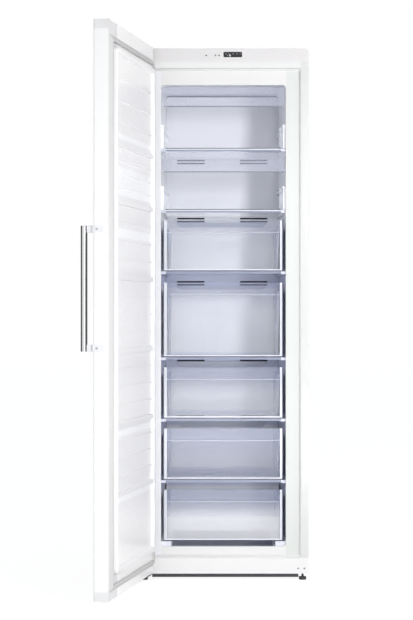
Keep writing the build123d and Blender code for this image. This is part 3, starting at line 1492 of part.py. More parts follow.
# Hinge pins, each with a flat head against its plate; the lower one has a collar for the door.
COLLAR_TOP = DOOR_BOTTOM - PIN_AIR
with BuildPart() as hinge_pins:
    depth = -HINGE_FORWARD
    pin_top = DOOR_BOTTOM + BUSH_LENGTH - PIN_END_GAP
    pin_bottom = DOOR_TOP - BUSH_LENGTH + PIN_END_GAP
    post(HINGE_X, depth, LOWER_PLATE_BOTTOM - PIN_HEAD, pin_top, HINGE_PIN_RADIUS)
    post(HINGE_X, depth, LOWER_PLATE_BOTTOM - PIN_HEAD, LOWER_PLATE_BOTTOM, COLLAR_RADIUS)
    post(HINGE_X, depth, CABINET_BOTTOM, COLLAR_TOP, COLLAR_RADIUS)
    post(HINGE_X, depth, pin_bottom, UPPER_PLATE_TOP + PIN_HEAD, HINGE_PIN_RADIUS)
    post(HINGE_X, depth, UPPER_PLATE_TOP, UPPER_PLATE_TOP + PIN_HEAD, COLLAR_RADIUS)
save(hinge_pins.part, "hinge_pins")

# Screws that hold the two brackets, and two blank screws in the spare holes of the front rail.
with BuildPart() as frame_screws:
    shank = SCREW_SHANK_RADIUS - SEAT_GAP
    for x, depth in TOP_SCREWS:
        post(x, depth, UPPER_PLATE_TOP - SCREW_LENGTH, UPPER_PLATE_TOP, shank)
        post(x, depth, UPPER_PLATE_TOP, UPPER_PLATE_TOP + SCREW_HEAD_HEIGHT, SCREW_HEAD_RADIUS)
    for x, depth in BOTTOM_SCREWS:
        post(x, depth, LOWER_PLATE_BOTTOM, LOWER_PLATE_BOTTOM + SCREW_LENGTH, shank)
        post(
            x, depth, LOWER_PLATE_BOTTOM - SCREW_HEAD_HEIGHT, LOWER_PLATE_BOTTOM, SCREW_HEAD_RADIUS
        )
    for x in SPARE_SCREWS:
        deep_bar(x, 0, SCREW_LENGTH, SPARE_SCREW_LEVEL, SPARE_SCREW_RADIUS)
save(frame_screws.part, "frame_screws")

# ================================================================ feet and rollers
for side, name in ((-1, "front_foot_left"), (1, "front_foot_right")):
    with BuildPart() as front_foot:
        foot_x = side * (HALF - FOOT_INSET)
        post(foot_x, FOOT_DEPTH, 0, FOOT_HEIGHT, FOOT_RADIUS)
        post(foot_x, FOOT_DEPTH, FOOT_HEIGHT - OVERRUN, FOOT_STUD_TOP, FOOT_STUD_RADIUS)
        chamfer(front_foot.edges().group_by(Axis.Z)[-1], STUD_CHAMFER)
    save(front_foot.part, name)

for side, name in ((-1, "rear_roller_left"), (1, "rear_roller_right")):
    with BuildPart() as rear_roller:
        roller_left = side * (HALF - ROLLER_INSET) - ROLLER_WIDTH / 2
        roller_right = roller_left + ROLLER_WIDTH
        cross_bar(roller_left, roller_right, ROLLER_DEPTH, ROLLER_RADIUS, ROLLER_RADIUS)
        cross_bar(
            roller_left - OVERRUN,
            roller_right + OVERRUN,
            ROLLER_DEPTH,
            ROLLER_RADIUS,
            AXLE_RADIUS + HINGE_RUNNING_GAP,
            Mode.SUBTRACT,
        )
    save(rear_roller.part, name)

with BuildPart() as roller_axles:
    for side in (-1, 1):
        axle_x = side * (HALF - ROLLER_INSET)
        reach = ROLLER_WIDTH / 2 + EAR_GAP + EAR_SHEET
        cross_bar(
            axle_x - reach - AXLE_HEAD,
            axle_x + reach + AXLE_HEAD,
            ROLLER_DEPTH,
            ROLLER_RADIUS,
            AXLE_RADIUS,
        )
        for end in (axle_x - reach - AXLE_HEAD, axle_x + reach):
            cross_bar(end, end + AXLE_HEAD, ROLLER_DEPTH, ROLLER_RADIUS, AXLE_HEAD_RADIUS)
save(roller_axles.part, "roller_axles")


# ================================================================ door
# Every piece of the door is drawn on the closed door and then turned to where it stands open.
def door_outline(inset):
    """The door's outline seen from above, round at its two outer corners."""
    with BuildSketch(Plane.XY) as outline:
        front = DOOR_OUTER + inset
        with Locations((0, FRONT + (front + DOOR_SKIN_BACK) / 2)):
            Rectangle(2 * (HALF - inset), DOOR_SKIN_BACK - front)
        fillet(outline.vertices().group_by(Axis.Y)[0], DOOR_CORNER_RADIUS - inset)
    return outline.sketch


def door_ring(depth, half_width, bottom, top, radius):
    """An upright rounded rectangle across the door."""
    return rounded_face(
        upright(depth), (0, (bottom + top) / 2), 2 * half_width, top - bottom, radius
    )


SKIN_BOTTOM = DOOR_BOTTOM + DOOR_CAP_HEIGHT
SKIN_TOP = DOOR_TOP - DOOR_CAP_HEIGHT

# Painted steel skin: one sheet folded round the outer face and both sides.
with BuildPart() as door_skin:
    extrude(
        door_outline(0).moved(Location((0, 0, SKIN_BOTTOM))), amount=SKIN_TOP - SKIN_BOTTOM
    )
    extrude(
        door_outline(SHEET).moved(Location((0, 0, SKIN_BOTTOM - OVERRUN))),
        amount=SKIN_TOP - SKIN_BOTTOM + 2 * OVERRUN,
        mode=Mode.SUBTRACT,
    )
    for side in (-1, 1):
        edges = sorted((side * HALF, side * (HALF - DOOR_RETURN)))
        block(
            edges[0], edges[1], DOOR_SKIN_BACK - SHEET, DOOR_SKIN_BACK, SKIN_BOTTOM, SKIN_TOP
        )
    for level in BRACKET_LEVELS:
        cross_bar(
            HALF - 2 * SHEET,
            HALF + SHEET,
            BRACKET_SCREW_DEPTH,
            level,
            BRACKET_SCREW_RADIUS + SEAT_GAP,
            Mode.SUBTRACT,
        )
save(swing(door_skin.part), "door_skin")

FIELD_FACE = PLATFORM_FACE - FIELD_DEPTH


def platform(sheet):
    """The raised frame of the door liner, shrunk all round by the thickness of its sheet."""
    lip = PLATFORM_SLOPE
    base = DOOR_SKIN_BACK if sheet else DOOR_INNER
    edge = FIELD_RIM - sheet
    with BuildPart() as raised:
        loft(
            [
                door_ring(
                    base,
                    PLATFORM_HALF - sheet,
                    PLATFORM_BOTTOM + sheet,
                    PLATFORM_TOP - sheet,
                    PLATFORM_RADIUS,
                ),
                door_ring(
                    PLATFORM_FACE - sheet,
                    PLATFORM_HALF - lip - sheet,
                    PLATFORM_BOTTOM + lip + sheet,
                    PLATFORM_TOP - lip - sheet,
                    PLATFORM_RADIUS,
                ),
            ]
        )
        loft(
            [
                door_ring(
                    FIELD_FACE - sheet,
                    FIELD_HALF - lip + sheet,
                    FIELD_BOTTOM + lip - sheet,
                    FIELD_TOP - lip + sheet,
                    FIELD_RADIUS,
                ),
                door_ring(
                    PLATFORM_FACE + OVERRUN,
                    FIELD_HALF + sheet,
                    FIELD_BOTTOM - sheet,
                    FIELD_TOP + sheet,
                    FIELD_RADIUS,
                ),
            ],
            mode=Mode.SUBTRACT,
        )
    return raised.part


# Vacuum-formed inner face: flat flange, raised frame, cross ledges and shallow ribs.
with BuildPart() as door_liner:
    block(
        -HALF + SHEET,
        HALF - SHEET,
        DOOR_SKIN_BACK,
        DOOR_INNER,
        DOOR_BOTTOM + DOOR_LINER_SHEET,
        DOOR_TOP - DOOR_LINER_SHEET,
    )
    add(platform(0))
    add(platform(DOOR_LINER_SHEET), mode=Mode.SUBTRACT)
    rib_half = FIELD_HALF - PLATFORM_SLOPE
    for level in DOOR_LEDGE_LEVELS:
        block(
            -rib_half,
            rib_half,
            FIELD_FACE - OVERRUN,
            FIELD_FACE + DOOR_LEDGE_PROUD,
            level - DOOR_LEDGE_WIDTH / 2,
            level + DOOR_LEDGE_WIDTH / 2,
        )
    for lower, upper in zip(DOOR_LEDGE_LEVELS, DOOR_LEDGE_LEVELS[1:] + (FIELD_TOP,)):
        step = (upper - lower) / (RIBS_BETWEEN_LEDGES + 1)
        for rib in range(1, RIBS_BETWEEN_LEDGES + 1):
            level = lower + rib * step
            block(
                -rib_half,
                rib_half,
                FIELD_FACE - OVERRUN,
                FIELD_FACE + RIB_HEIGHT,
                level - RIB_WIDTH / 2,
                level + RIB_WIDTH / 2,
            )
save(swing(door_liner.part), "door_liner")

# Foam inside the door, cut back around the sheet's folded edges and the handle's screws.
with BuildPart() as door_foam:
    extrude(
        door_outline(SHEET).moved(Location((0, 0, SKIN_BOTTOM))), amount=SKIN_TOP - SKIN_BOTTOM
    )
    for side in (-1, 1):
        edges = sorted((side * HALF, side * (HALF - DOOR_RETURN)))
        block(
            edges[0],
            edges[1],
            DOOR_SKIN_BACK - SHEET,
            DOOR_SKIN_BACK,
            SKIN_BOTTOM,
            SKIN_TOP,
            Mode.SUBTRACT,
        )
    add(platform(DOOR_LINER_SHEET))
    for level in BRACKET_LEVELS:
        cross_bar(
            HALF - SHEET - SCREW_LENGTH,
            HALF,
            BRACKET_SCREW_DEPTH,
            level,
            BRACKET_SCREW_RADIUS + POCKET_SIDE,
            Mode.SUBTRACT,
        )
save(swing(door_foam.part), "door_foam")


def door_cap(bottom, open_below, name):
    """A moulded tray across one end of the door, with a boss for the hinge bush."""
    top = bottom + DOOR_CAP_HEIGHT
    floor = (top - DOOR_CAP_WALL, top) if open_below else (bottom, bottom + DOOR_CAP_WALL)
    boss = (DOOR_TOP - BUSH_LENGTH - DOOR_CAP_WALL, top)
    bore = (DOOR_TOP - BUSH_LENGTH, top + OVERRUN)
    if not open_below:
        boss = (bottom, DOOR_BOTTOM + BUSH_LENGTH + DOOR_CAP_WALL)
        bore = (bottom - OVERRUN, DOOR_BOTTOM + BUSH_LENGTH)
    bush_hole = HINGE_PIN_RADIUS + HINGE_RUNNING_GAP + BUSH_WALL + SEAT_GAP
    with BuildPart() as cap:
        extrude(door_outline(0).moved(Location((0, 0, bottom))), amount=DOOR_CAP_HEIGHT)
        with BuildSketch(Plane.XY.offset(bottom)):
            with Locations((0, FRONT + (DOOR_OUTER + DOOR_SKIN_BACK) / 2)):
                Rectangle(
                    2 * (HALF - DOOR_CAP_WALL),
                    DOOR_SKIN_BACK - DOOR_OUTER - 2 * DOOR_CAP_WALL,
                )
        extrude(amount=DOOR_CAP_HEIGHT, mode=Mode.SUBTRACT)
        extrude(
            door_outline(0).moved(Location((0, 0, floor[0]))), amount=DOOR_CAP_WALL
        )
        post(HINGE_X, -HINGE_FORWARD, boss[0], boss[1], bush_hole + DOOR_CAP_WALL)
        post(HINGE_X, -HINGE_FORWARD, bore[0], bore[1], bush_hole, Mode.SUBTRACT)
    save(swing(cap.part), name)


door_cap(SKIN_TOP, True, "door_top_cap")
door_cap(DOOR_BOTTOM, False, "door_bottom_cap")

# Bushes that turn on the hinge pins.
with BuildPart() as hinge_bushes:
    bush_inner = HINGE_PIN_RADIUS + HINGE_RUNNING_GAP
    for bottom, top in (
        (COLLAR_TOP + SEAT_GAP, DOOR_BOTTOM + BUSH_LENGTH),
        (DOOR_TOP - BUSH_LENGTH, DOOR_TOP),
    ):
        post(HINGE_X, -HINGE_FORWARD, bottom, top, bush_inner + BUSH_WALL)
        post(
            HINGE_X,
            -HINGE_FORWARD,
            bottom - OVERRUN,
            top + OVERRUN,
            bush_inner,
            Mode.SUBTRACT,
        )
save(swing(hinge_bushes.part), "hinge_bushes")

# Soft magnetic gasket: a frame that narrows to its lip just short of the cabinet.
with BuildPart() as door_gasket:
    lip_out = GASKET_BASE_WIDTH - GASKET_LIP_WIDTH
    gasket_inner = GASKET_HALF - GASKET_BASE_WIDTH
    loft(
        [
            door_ring(DOOR_INNER, GASKET_HALF, GASKET_BOTTOM, GASKET_TOP, GASKET_RADIUS),
            door_ring(
                -GASKET_REST_GAP,
                GASKET_HALF - lip_out,
                GASKET_BOTTOM + lip_out,
                GASKET_TOP - lip_out,
                GASKET_RADIUS,
            ),
        ]
    )
    hole = door_ring(
        DOOR_INNER - OVERRUN,
        gasket_inner,
        GASKET_BOTTOM + GASKET_BASE_WIDTH,
        GASKET_TOP - GASKET_BASE_WIDTH,
        GASKET_RADIUS,
    )
    extrude(hole, amount=-2 * DOOR_GAP, mode=Mode.SUBTRACT)
save(swing(door_gasket.part), "door_gasket")

# ================================================================ handle
HANDLE_BACK = DOOR_OUTER - HANDLE_STANDOFF
HANDLE_X = HALF - HANDLE_EDGE_INSET
with BuildPart() as handle_bar:
    bar_face = rounded_face(
        Plane.XY.offset(HANDLE_BOTTOM),
        (HANDLE_X, FRONT + HANDLE_BACK - HANDLE_THICKNESS / 2),
        HANDLE_WIDTH,
        HANDLE_THICKNESS,
        HANDLE_RADIUS,
    )
    extrude(bar_face, amount=HANDLE_LENGTH)
    fillet(handle_bar.faces().sort_by(Axis.Z)[-1].edges(), HANDLE_END_RADIUS)
    fillet(handle_bar.faces().sort_by(Axis.Z)[0].edges(), HANDLE_END_RADIUS)
save(swing(handle_bar.part), "handle_bar")

# Angle brackets: a post under the bar and a tab screwed to the door's side.
with BuildPart() as handle_brackets:
    for level in BRACKET_LEVELS:
        low = level - BRACKET_HEIGHT / 2
        high = level + BRACKET_HEIGHT / 2
        block(
            HANDLE_X - BRACKET_POST_WIDTH / 2,
            HANDLE_X + BRACKET_POST_WIDTH / 2,
            HANDLE_BACK,
            DOOR_OUTER,
            low,
            high,
        )
        block(
            HANDLE_X - BRACKET_POST_WIDTH / 2,
            HALF + BRACKET_SHEET,
            DOOR_OUTER - BRACKET_SHEET,
            DOOR_OUTER,
            low,
            high,
        )
        block(
            HALF,
            HALF + BRACKET_SHEET,
            DOOR_OUTER - BRACKET_SHEET,
            DOOR_OUTER + BRACKET_TAB,
            low,
            high,
        )
        cross_bar(
            HALF - OVERRUN,
            HALF + BRACKET_SHEET + OVERRUN,
            BRACKET_SCREW_DEPTH,
            level,
            BRACKET_SCREW_RADIUS + SEAT_GAP,
            Mode.SUBTRACT,
        )
save(swing(handle_brackets.part), "handle_brackets")

with BuildPart() as handle_screws:
    for level in BRACKET_LEVELS:
        tab_face = HALF + BRACKET_SHEET
        cross_bar(
            tab_face - SCREW_LENGTH,
            tab_face + OVERRUN,
            BRACKET_SCREW_DEPTH,
            level,
            BRACKET_SCREW_RADIUS,
        )
        cross_bar(
            tab_face,
            tab_face + BRACKET_SHEET,
            BRACKET_SCREW_DEPTH,
            level,
            BRACKET_SCREW_HEAD_RADIUS,
        )
save(swing(handle_screws.part), "handle_screws")
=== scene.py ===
# %% [markdown]
# # Dressing an upright freezer
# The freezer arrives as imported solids: cabinet, door, drawers, shelves and flaps. This lesson
# gives every solid the finish of the real thing, adds the small parts that the solids leave
# out, and lights it like a plain catalogue picture on white.

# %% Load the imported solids
import math

import bmesh
import bpy
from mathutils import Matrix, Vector


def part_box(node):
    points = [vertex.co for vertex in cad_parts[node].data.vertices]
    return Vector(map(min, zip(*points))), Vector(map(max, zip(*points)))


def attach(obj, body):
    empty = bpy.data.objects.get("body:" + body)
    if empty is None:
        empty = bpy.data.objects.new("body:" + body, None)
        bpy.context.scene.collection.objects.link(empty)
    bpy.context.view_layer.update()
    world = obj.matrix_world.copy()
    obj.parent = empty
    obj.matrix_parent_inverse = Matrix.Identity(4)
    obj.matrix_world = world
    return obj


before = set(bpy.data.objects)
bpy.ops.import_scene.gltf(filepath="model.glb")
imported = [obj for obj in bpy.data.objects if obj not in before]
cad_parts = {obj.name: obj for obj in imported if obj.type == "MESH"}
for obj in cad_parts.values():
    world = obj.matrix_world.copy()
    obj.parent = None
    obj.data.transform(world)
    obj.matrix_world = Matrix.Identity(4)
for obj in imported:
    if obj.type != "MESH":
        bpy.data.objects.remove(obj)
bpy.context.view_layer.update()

# %% [markdown]
# ## Where things are
# All sizes are in metres. The cabinet's front is a plane of constant Y, and every depth is
# counted from it towards the back. The solids tell the rest: a box around a shelf or a
# drawer says where a new piece or a change of tone belongs.

# %% Shared places
FRONT = -0.2975
SHELF_LEVELS = [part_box(f"glass_shelf_{n}")[1][2] for n in range(1, 7)]
DRAWERS = {n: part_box(f"drawer_front_{n}") for n in range(1, 6)}
WALL_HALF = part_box("shelf_trims")[1][0]
print("shelves at", [round(level, 4) for level in SHELF_LEVELS])

# %% [markdown]
# ## Camera
# The picture was taken level with the middle of the door, from far away with a long lens, a
# little to the left of the cabinet. A level camera keeps all upright edges parallel.

# %% Camera
CAMERA_SIDE = -0.0591
CAMERA_DISTANCE = 5.86
CAMERA_HEIGHT = 0.942
bpy.ops.object.camera_add(
    location=(CAMERA_SIDE, FRONT - CAMERA_DISTANCE, CAMERA_HEIGHT),
    rotation=(math.radians(90), 0, 0),
)
camera = bpy.context.object
camera.name = "catalogue_camera"
camera.data.lens = 97.5
camera.data.sensor_width = 36
bpy.context.scene.camera = camera
print("camera at", tuple(camera.location), "lens", camera.data.lens)

# %% [markdown]
# ## Light
# The world gives an even fill, as large white panels all round a white studio would. It
# shows plain white to the eye and in reflections, but lights the object less, so that white
# enamel keeps its tone. Light passes many clear walls here, so the limit on see-through
# surfaces is raised.

# %% World
CLEAR_WALLS = 24
SKY_COLOUR = (0.94, 0.965, 1.0, 1)
SKY_STRENGTH = 0.455
scene = bpy.context.scene
scene.view_settings.view_transform = "Standard"
scene.cycles.transparent_max_bounces = CLEAR_WALLS
world = bpy.data.worlds.new("white_studio")
scene.world = world
world.use_nodes = True
sky = world.node_tree.nodes
sky_links = world.node_tree.links
sky.clear()
sky_out = sky.new("ShaderNodeOutputWorld")
sky_fill = sky.new("ShaderNodeBackground")
sky_fill.inputs["Color"].default_value = SKY_COLOUR
sky_fill.inputs["Strength"].default_value = SKY_STRENGTH
sky_white = sky.new("ShaderNodeBackground")
sky_white.inputs["Color"].default_value = (1, 1, 1, 1)
sky_white.inputs["Strength"].default_value = 1.0
sky_path = sky.new("ShaderNodeLightPath")
sky_first = sky.new("ShaderNodeMath")
sky_first.operation = "MAXIMUM"
sky_second = sky.new("ShaderNodeMath")
sky_second.operation = "MAXIMUM"
sky_mix = sky.new("ShaderNodeMixShader")
sky_links.new(sky_path.outputs["Is Camera Ray"], sky_first.inputs[0])
sky_links.new(sky_path.outputs["Is Glossy Ray"], sky_first.inputs[1])
sky_links.new(sky_first.outputs[0], sky_second.inputs[0])
sky_links.new(sky_path.outputs["Is Transmission Ray"], sky_second.inputs[1])
sky_links.new(sky_second.outputs[0], sky_mix.inputs["Fac"])
sky_links.new(sky_fill.outputs[0], sky_mix.inputs[1])
sky_links.new(sky_white.outputs[0], sky_mix.inputs[2])
sky_links.new(sky_mix.outputs[0], sky_out.inputs["Surface"])
print("world made")

# %% [markdown]
# ## Lamps
# One small soft lamp stands to the right, at the height of the upper shelves. It reaches into
# the cabinet, and the shadows of the right wall and the shelves fall on the back. A broad weak
# panel in front, one at the side and one low down lift the shadows. The front and side panels
# are a touch warm, which balances the cool sky on white enamel.


# %% Lamps
def soft_panel(name, place, aim, size, power, colour=(1.0, 1.0, 1.0)):
    """Adds a soft panel, as wide and high as size says, turned towards a point."""
    bpy.ops.object.light_add(type="AREA", location=place)
    lamp = bpy.context.object
    lamp.name = name
    lamp.data.shape = "RECTANGLE"
    lamp.data.size, lamp.data.size_y = size
    lamp.data.energy = power
    lamp.data.color = colour
    turn = (Vector(aim) - Vector(place)).to_track_quat("-Z", "Y")
    lamp.rotation_euler = turn.to_euler()
    print("lamp:", name)


WARM_WHITE = (1.0, 0.985, 0.965)
soft_panel("key_lamp", (0.99, -2.85, 1.58), (0, 0, 1.0), (0.3, 0.3), 35)
soft_panel("front_fill", (-0.6, -5.8, 1.0), (0, 0, 0.7), (3.2, 3.2), 27, WARM_WHITE)
soft_panel("side_fill", (3.0, -2.3, 1.0), (-0.2, -0.4, 0.9), (1.6, 1.6), 10, WARM_WHITE)
soft_panel("low_fill", (0.35, -2.6, 0.30), (0, -0.3, 0.22), (1.8, 0.4), 13)

# %% [markdown]
# ## Floor
# The floor sends light back up at the object as a pale studio floor does. The eye sees it
# lifted to plain white by a glow that only camera, mirror and see-through rays meet.

# %% Floor
FLOOR_LIFT = 0.83
bpy.ops.object.select_all(action="DESELECT")
bpy.ops.mesh.primitive_plane_add(size=40, location=(0, 0, 0))
floor = bpy.context.object
floor.name = "studio_floor"
floor_mat = bpy.data.materials.new("studio_floor")
floor_mat.use_nodes = True
floor_nodes = floor_mat.node_tree.nodes
floor_links = floor_mat.node_tree.links
floor_nodes.clear()
floor_out = floor_nodes.new("ShaderNodeOutputMaterial")
floor_matte = floor_nodes.new("ShaderNodeBsdfDiffuse")
floor_glow = floor_nodes.new("ShaderNodeEmission")
floor_glow.inputs["Color"].default_value = (1, 1, 1, 1)
floor_path = floor_nodes.new("ShaderNodeLightPath")
floor_eye = floor_nodes.new("ShaderNodeMath")
floor_eye.operation = "MAXIMUM"
floor_seen = floor_nodes.new("ShaderNodeMath")
floor_seen.operation = "MAXIMUM"
floor_lift = floor_nodes.new("ShaderNodeMath")
floor_lift.operation = "MULTIPLY"
floor_lift.inputs[1].default_value = FLOOR_LIFT
floor_tone = floor_nodes.new("ShaderNodeMix")
floor_tone.data_type = "RGBA"
floor_tone.inputs["A"].default_value = (0.80, 0.80, 0.80, 1)
floor_tone.inputs["B"].default_value = (0.38, 0.38, 0.38, 1)
floor_add = floor_nodes.new("ShaderNodeAddShader")
floor_links.new(floor_path.outputs["Is Camera Ray"], floor_eye.inputs[0])
floor_links.new(floor_path.outputs["Is Glossy Ray"], floor_eye.inputs[1])
floor_links.new(floor_eye.outputs[0], floor_seen.inputs[0])
floor_links.new(floor_path.outputs["Is Transmission Ray"], floor_seen.inputs[1])
floor_links.new(floor_seen.outputs[0], floor_lift.inputs[0])
floor_links.new(floor_lift.outputs[0], floor_glow.inputs["Strength"])
floor_links.new(floor_seen.outputs[0], floor_tone.inputs["Factor"])
floor_links.new(floor_tone.outputs["Result"], floor_matte.inputs["Color"])
floor_links.new(floor_matte.outputs[0], floor_add.inputs[0])
floor_links.new(floor_glow.outputs[0], floor_add.inputs[1])
floor_links.new(floor_add.outputs[0], floor_out.inputs["Surface"])
floor.data.materials.append(floor_mat)
print("floor made")

# %% [markdown]
# ## A shared surface effect
# Sprayed enamel is never quite flat: it has a faint ripple, called orange peel. Moulded
# plastic has a fine grain and small cloudy shifts of tone, and drawn metal has both in long
# streaks. One node group makes all of them from two noises, a large one that shifts the
# colour and a fine one that feeds roughness and height. Each material sets its own values.


# %% Node group
def group_socket(group, name, direction, kind, value=None):
    """Adds one named socket to a node group."""
    socket = group.interface.new_socket(name=name, in_out=direction, socket_type=kind)
    if value is not None:
        socket.default_value = value
    return socket


def surface_group(name, stretch):
    """A group that turns a colour into a gently uneven one, with roughness and height."""
    group = bpy.data.node_groups.new(name, "ShaderNodeTree")
    group_socket(group, "Colour", "INPUT", "NodeSocketColor", (0.8, 0.8, 0.8, 1))
    group_socket(group, "Shade", "INPUT", "NodeSocketColor", (0.7, 0.7, 0.7, 1))
    group_socket(group, "Cloud size", "INPUT", "NodeSocketFloat", 6.0)
    group_socket(group, "Grain size", "INPUT", "NodeSocketFloat", 400.0)
    group_socket(group, "Roughness", "INPUT", "NodeSocketFloat", 0.3)
    group_socket(group, "Spread", "INPUT", "NodeSocketFloat", 0.06)
    group_socket(group, "Colour", "OUTPUT", "NodeSocketColor")
    group_socket(group, "Roughness", "OUTPUT", "NodeSocketFloat")
    group_socket(group, "Height", "OUTPUT", "NodeSocketFloat")
    nodes = group.nodes
    links = group.links
    entry = nodes.new("NodeGroupInput")
    leave = nodes.new("NodeGroupOutput")
    place = nodes.new("ShaderNodeTexCoord")
    mapping = nodes.new("ShaderNodeMapping")
    mapping.inputs["Scale"].default_value = stretch
    cloud = nodes.new("ShaderNodeTexNoise")
    cloud.inputs["Detail"].default_value = 3.0
    grain = nodes.new("ShaderNodeTexNoise")
    grain.inputs["Detail"].default_value = 2.0
    tone = nodes.new("ShaderNodeMix")
    tone.data_type = "RGBA"
    rough = nodes.new("ShaderNodeMath")
    rough.operation = "MULTIPLY_ADD"
    links.new(place.outputs["Object"], mapping.inputs["Vector"])
    links.new(mapping.outputs["Vector"], cloud.inputs["Vector"])
    links.new(mapping.outputs["Vector"], grain.inputs["Vector"])
    links.new(entry.outputs["Cloud size"], cloud.inputs["Scale"])
    links.new(entry.outputs["Grain size"], grain.inputs["Scale"])
    links.new(cloud.outputs["Fac"], tone.inputs["Factor"])
    links.new(entry.outputs["Colour"], tone.inputs["A"])
    links.new(entry.outputs["Shade"], tone.inputs["B"])
    links.new(grain.outputs["Fac"], rough.inputs[0])
    links.new(entry.outputs["Spread"], rough.inputs[1])
    links.new(entry.outputs["Roughness"], rough.inputs[2])
    links.new(tone.outputs["Result"], leave.inputs["Colour"])
    links.new(rough.outputs[0], leave.inputs["Roughness"])
    links.new(grain.outputs["Fac"], leave.inputs["Height"])
    return group


uneven = surface_group("uneven_surface", (1, 1, 1))
brushed = surface_group("brushed_surface", (1, 1, 0.03))
print("groups:", uneven.name, brushed.name)

# %% [markdown]
# ## Tones that follow a place
# Some tones belong to a place on a piece, as do the painted highlights on a rim that stands
# proud and on a lip along the bottom edge. A second group gives 1 between two limits of one
# coordinate and 0 outside, with a soft edge, and a material blends two colours by it.


# %% Band group
def band_group():
    """A group that gives 1 where a value lies between two limits, with a soft edge."""
    group = bpy.data.node_groups.new("band", "ShaderNodeTree")
    group_socket(group, "Value", "INPUT", "NodeSocketFloat", 0.0)
    group_socket(group, "Low", "INPUT", "NodeSocketFloat", 0.0)
    group_socket(group, "High", "INPUT", "NodeSocketFloat", 1.0)
    group_socket(group, "Edge", "INPUT", "NodeSocketFloat", 0.001)
    group_socket(group, "Mask", "OUTPUT", "NodeSocketFloat")
    nodes = group.nodes
    links = group.links
    entry = nodes.new("NodeGroupInput")
    leave = nodes.new("NodeGroupOutput")
    rise = nodes.new("ShaderNodeMapRange")
    low_end = nodes.new("ShaderNodeMath")
    low_end.operation = "ADD"
    fall = nodes.new("ShaderNodeMapRange")
    fall.inputs["To Min"].default_value = 1.0
    fall.inputs["To Max"].default_value = 0.0
    high_end = nodes.new("ShaderNodeMath")
    high_end.operation = "ADD"
    both = nodes.new("ShaderNodeMath")
    both.operation = "MULTIPLY"
    links.new(entry.outputs["Low"], low_end.inputs[0])
    links.new(entry.outputs["Edge"], low_end.inputs[1])
    links.new(entry.outputs["High"], high_end.inputs[0])
    links.new(entry.outputs["Edge"], high_end.inputs[1])
    links.new(entry.outputs["Value"], rise.inputs["Value"])
    links.new(entry.outputs["Low"], rise.inputs["From Min"])
    links.new(low_end.outputs[0], rise.inputs["From Max"])
    links.new(entry.outputs["Value"], fall.inputs["Value"])
    links.new(entry.outputs["High"], fall.inputs["From Min"])
    links.new(high_end.outputs[0], fall.inputs["From Max"])
    links.new(rise.outputs["Result"], both.inputs[0])
    links.new(fall.outputs["Result"], both.inputs[1])
    links.new(both.outputs[0], leave.inputs["Mask"])
    return group


band = band_group()
print("group:", band.name)

# %% [markdown]
# ## One finish
# Every finish is a Principled material fed by the shared group. The colour drifts a little
# towards a second shade, and grain feeds roughness and bump.


# %% Finish helper
def finish(
    name,
    colour,
    shade,
    roughness,
    group=uneven,
    cloud=6.0,
    grain=400.0,
    spread=0.06,
    bump=0.05,
    metallic=0.0,
    coat=0.0,
    alpha=1.0,
    specular=0.5,
):
    """A Principled material whose colour, roughness and bump come from a surface group."""
    mat = bpy.data.materials.new(name)
    mat.use_nodes = True
    nodes = mat.node_tree.nodes
    links = mat.node_tree.links
    shader = nodes["Principled BSDF"]
    shader.inputs["Metallic"].default_value = metallic
    shader.inputs["Coat Weight"].default_value = coat
    shader.inputs["Coat Roughness"].default_value = 0.08
    shader.inputs["Specular IOR Level"].default_value = specular
    shader.inputs["Alpha"].default_value = alpha
    effect = nodes.new("ShaderNodeGroup")
    effect.node_tree = group
    effect.name = "surface"
    effect.inputs["Colour"].default_value = (*colour, 1)
    effect.inputs["Shade"].default_value = (*shade, 1)
    effect.inputs["Cloud size"].default_value = cloud
    effect.inputs["Grain size"].default_value = grain
    effect.inputs["Roughness"].default_value = roughness
    effect.inputs["Spread"].default_value = spread
    height = nodes.new("ShaderNodeBump")
    height.name = "relief"
    height.inputs["Strength"].default_value = bump
    height.inputs["Distance"].default_value = 0.001
    links.new(effect.outputs["Colour"], shader.inputs["Base Color"])
    links.new(effect.outputs["Roughness"], shader.inputs["Roughness"])
    links.new(effect.outputs["Height"], height.inputs["Height"])
    links.new(height.outputs["Normal"], shader.inputs["Normal"])
    return mat


# %% [markdown]
# ## Tones laid over a finish
# A mask along one axis picks a place on a piece, masks can be joined, and a tint lays another
# colour there. Where one solid holds two tones, as a trim with its end caps does, this keeps
# them apart.


# %% Mask helpers
def axis_mask(mat, axis, low, high, edge=0.0005):
    """Adds a band along X, Y or Z of the object's own coordinates and returns its mask."""
    nodes = mat.node_tree.nodes
    links = mat.node_tree.links
    place = nodes.new("ShaderNodeTexCoord")
    split = nodes.new("ShaderNodeSeparateXYZ")
    limits = nodes.new("ShaderNodeGroup")
    limits.node_tree = band
    limits.inputs["Low"].default_value = low
    limits.inputs["High"].default_value = high
    limits.inputs["Edge"].default_value = edge
    links.new(place.outputs["Object"], split.inputs["Vector"])
    links.new(split.outputs[axis], limits.inputs["Value"])
    return limits.outputs["Mask"]


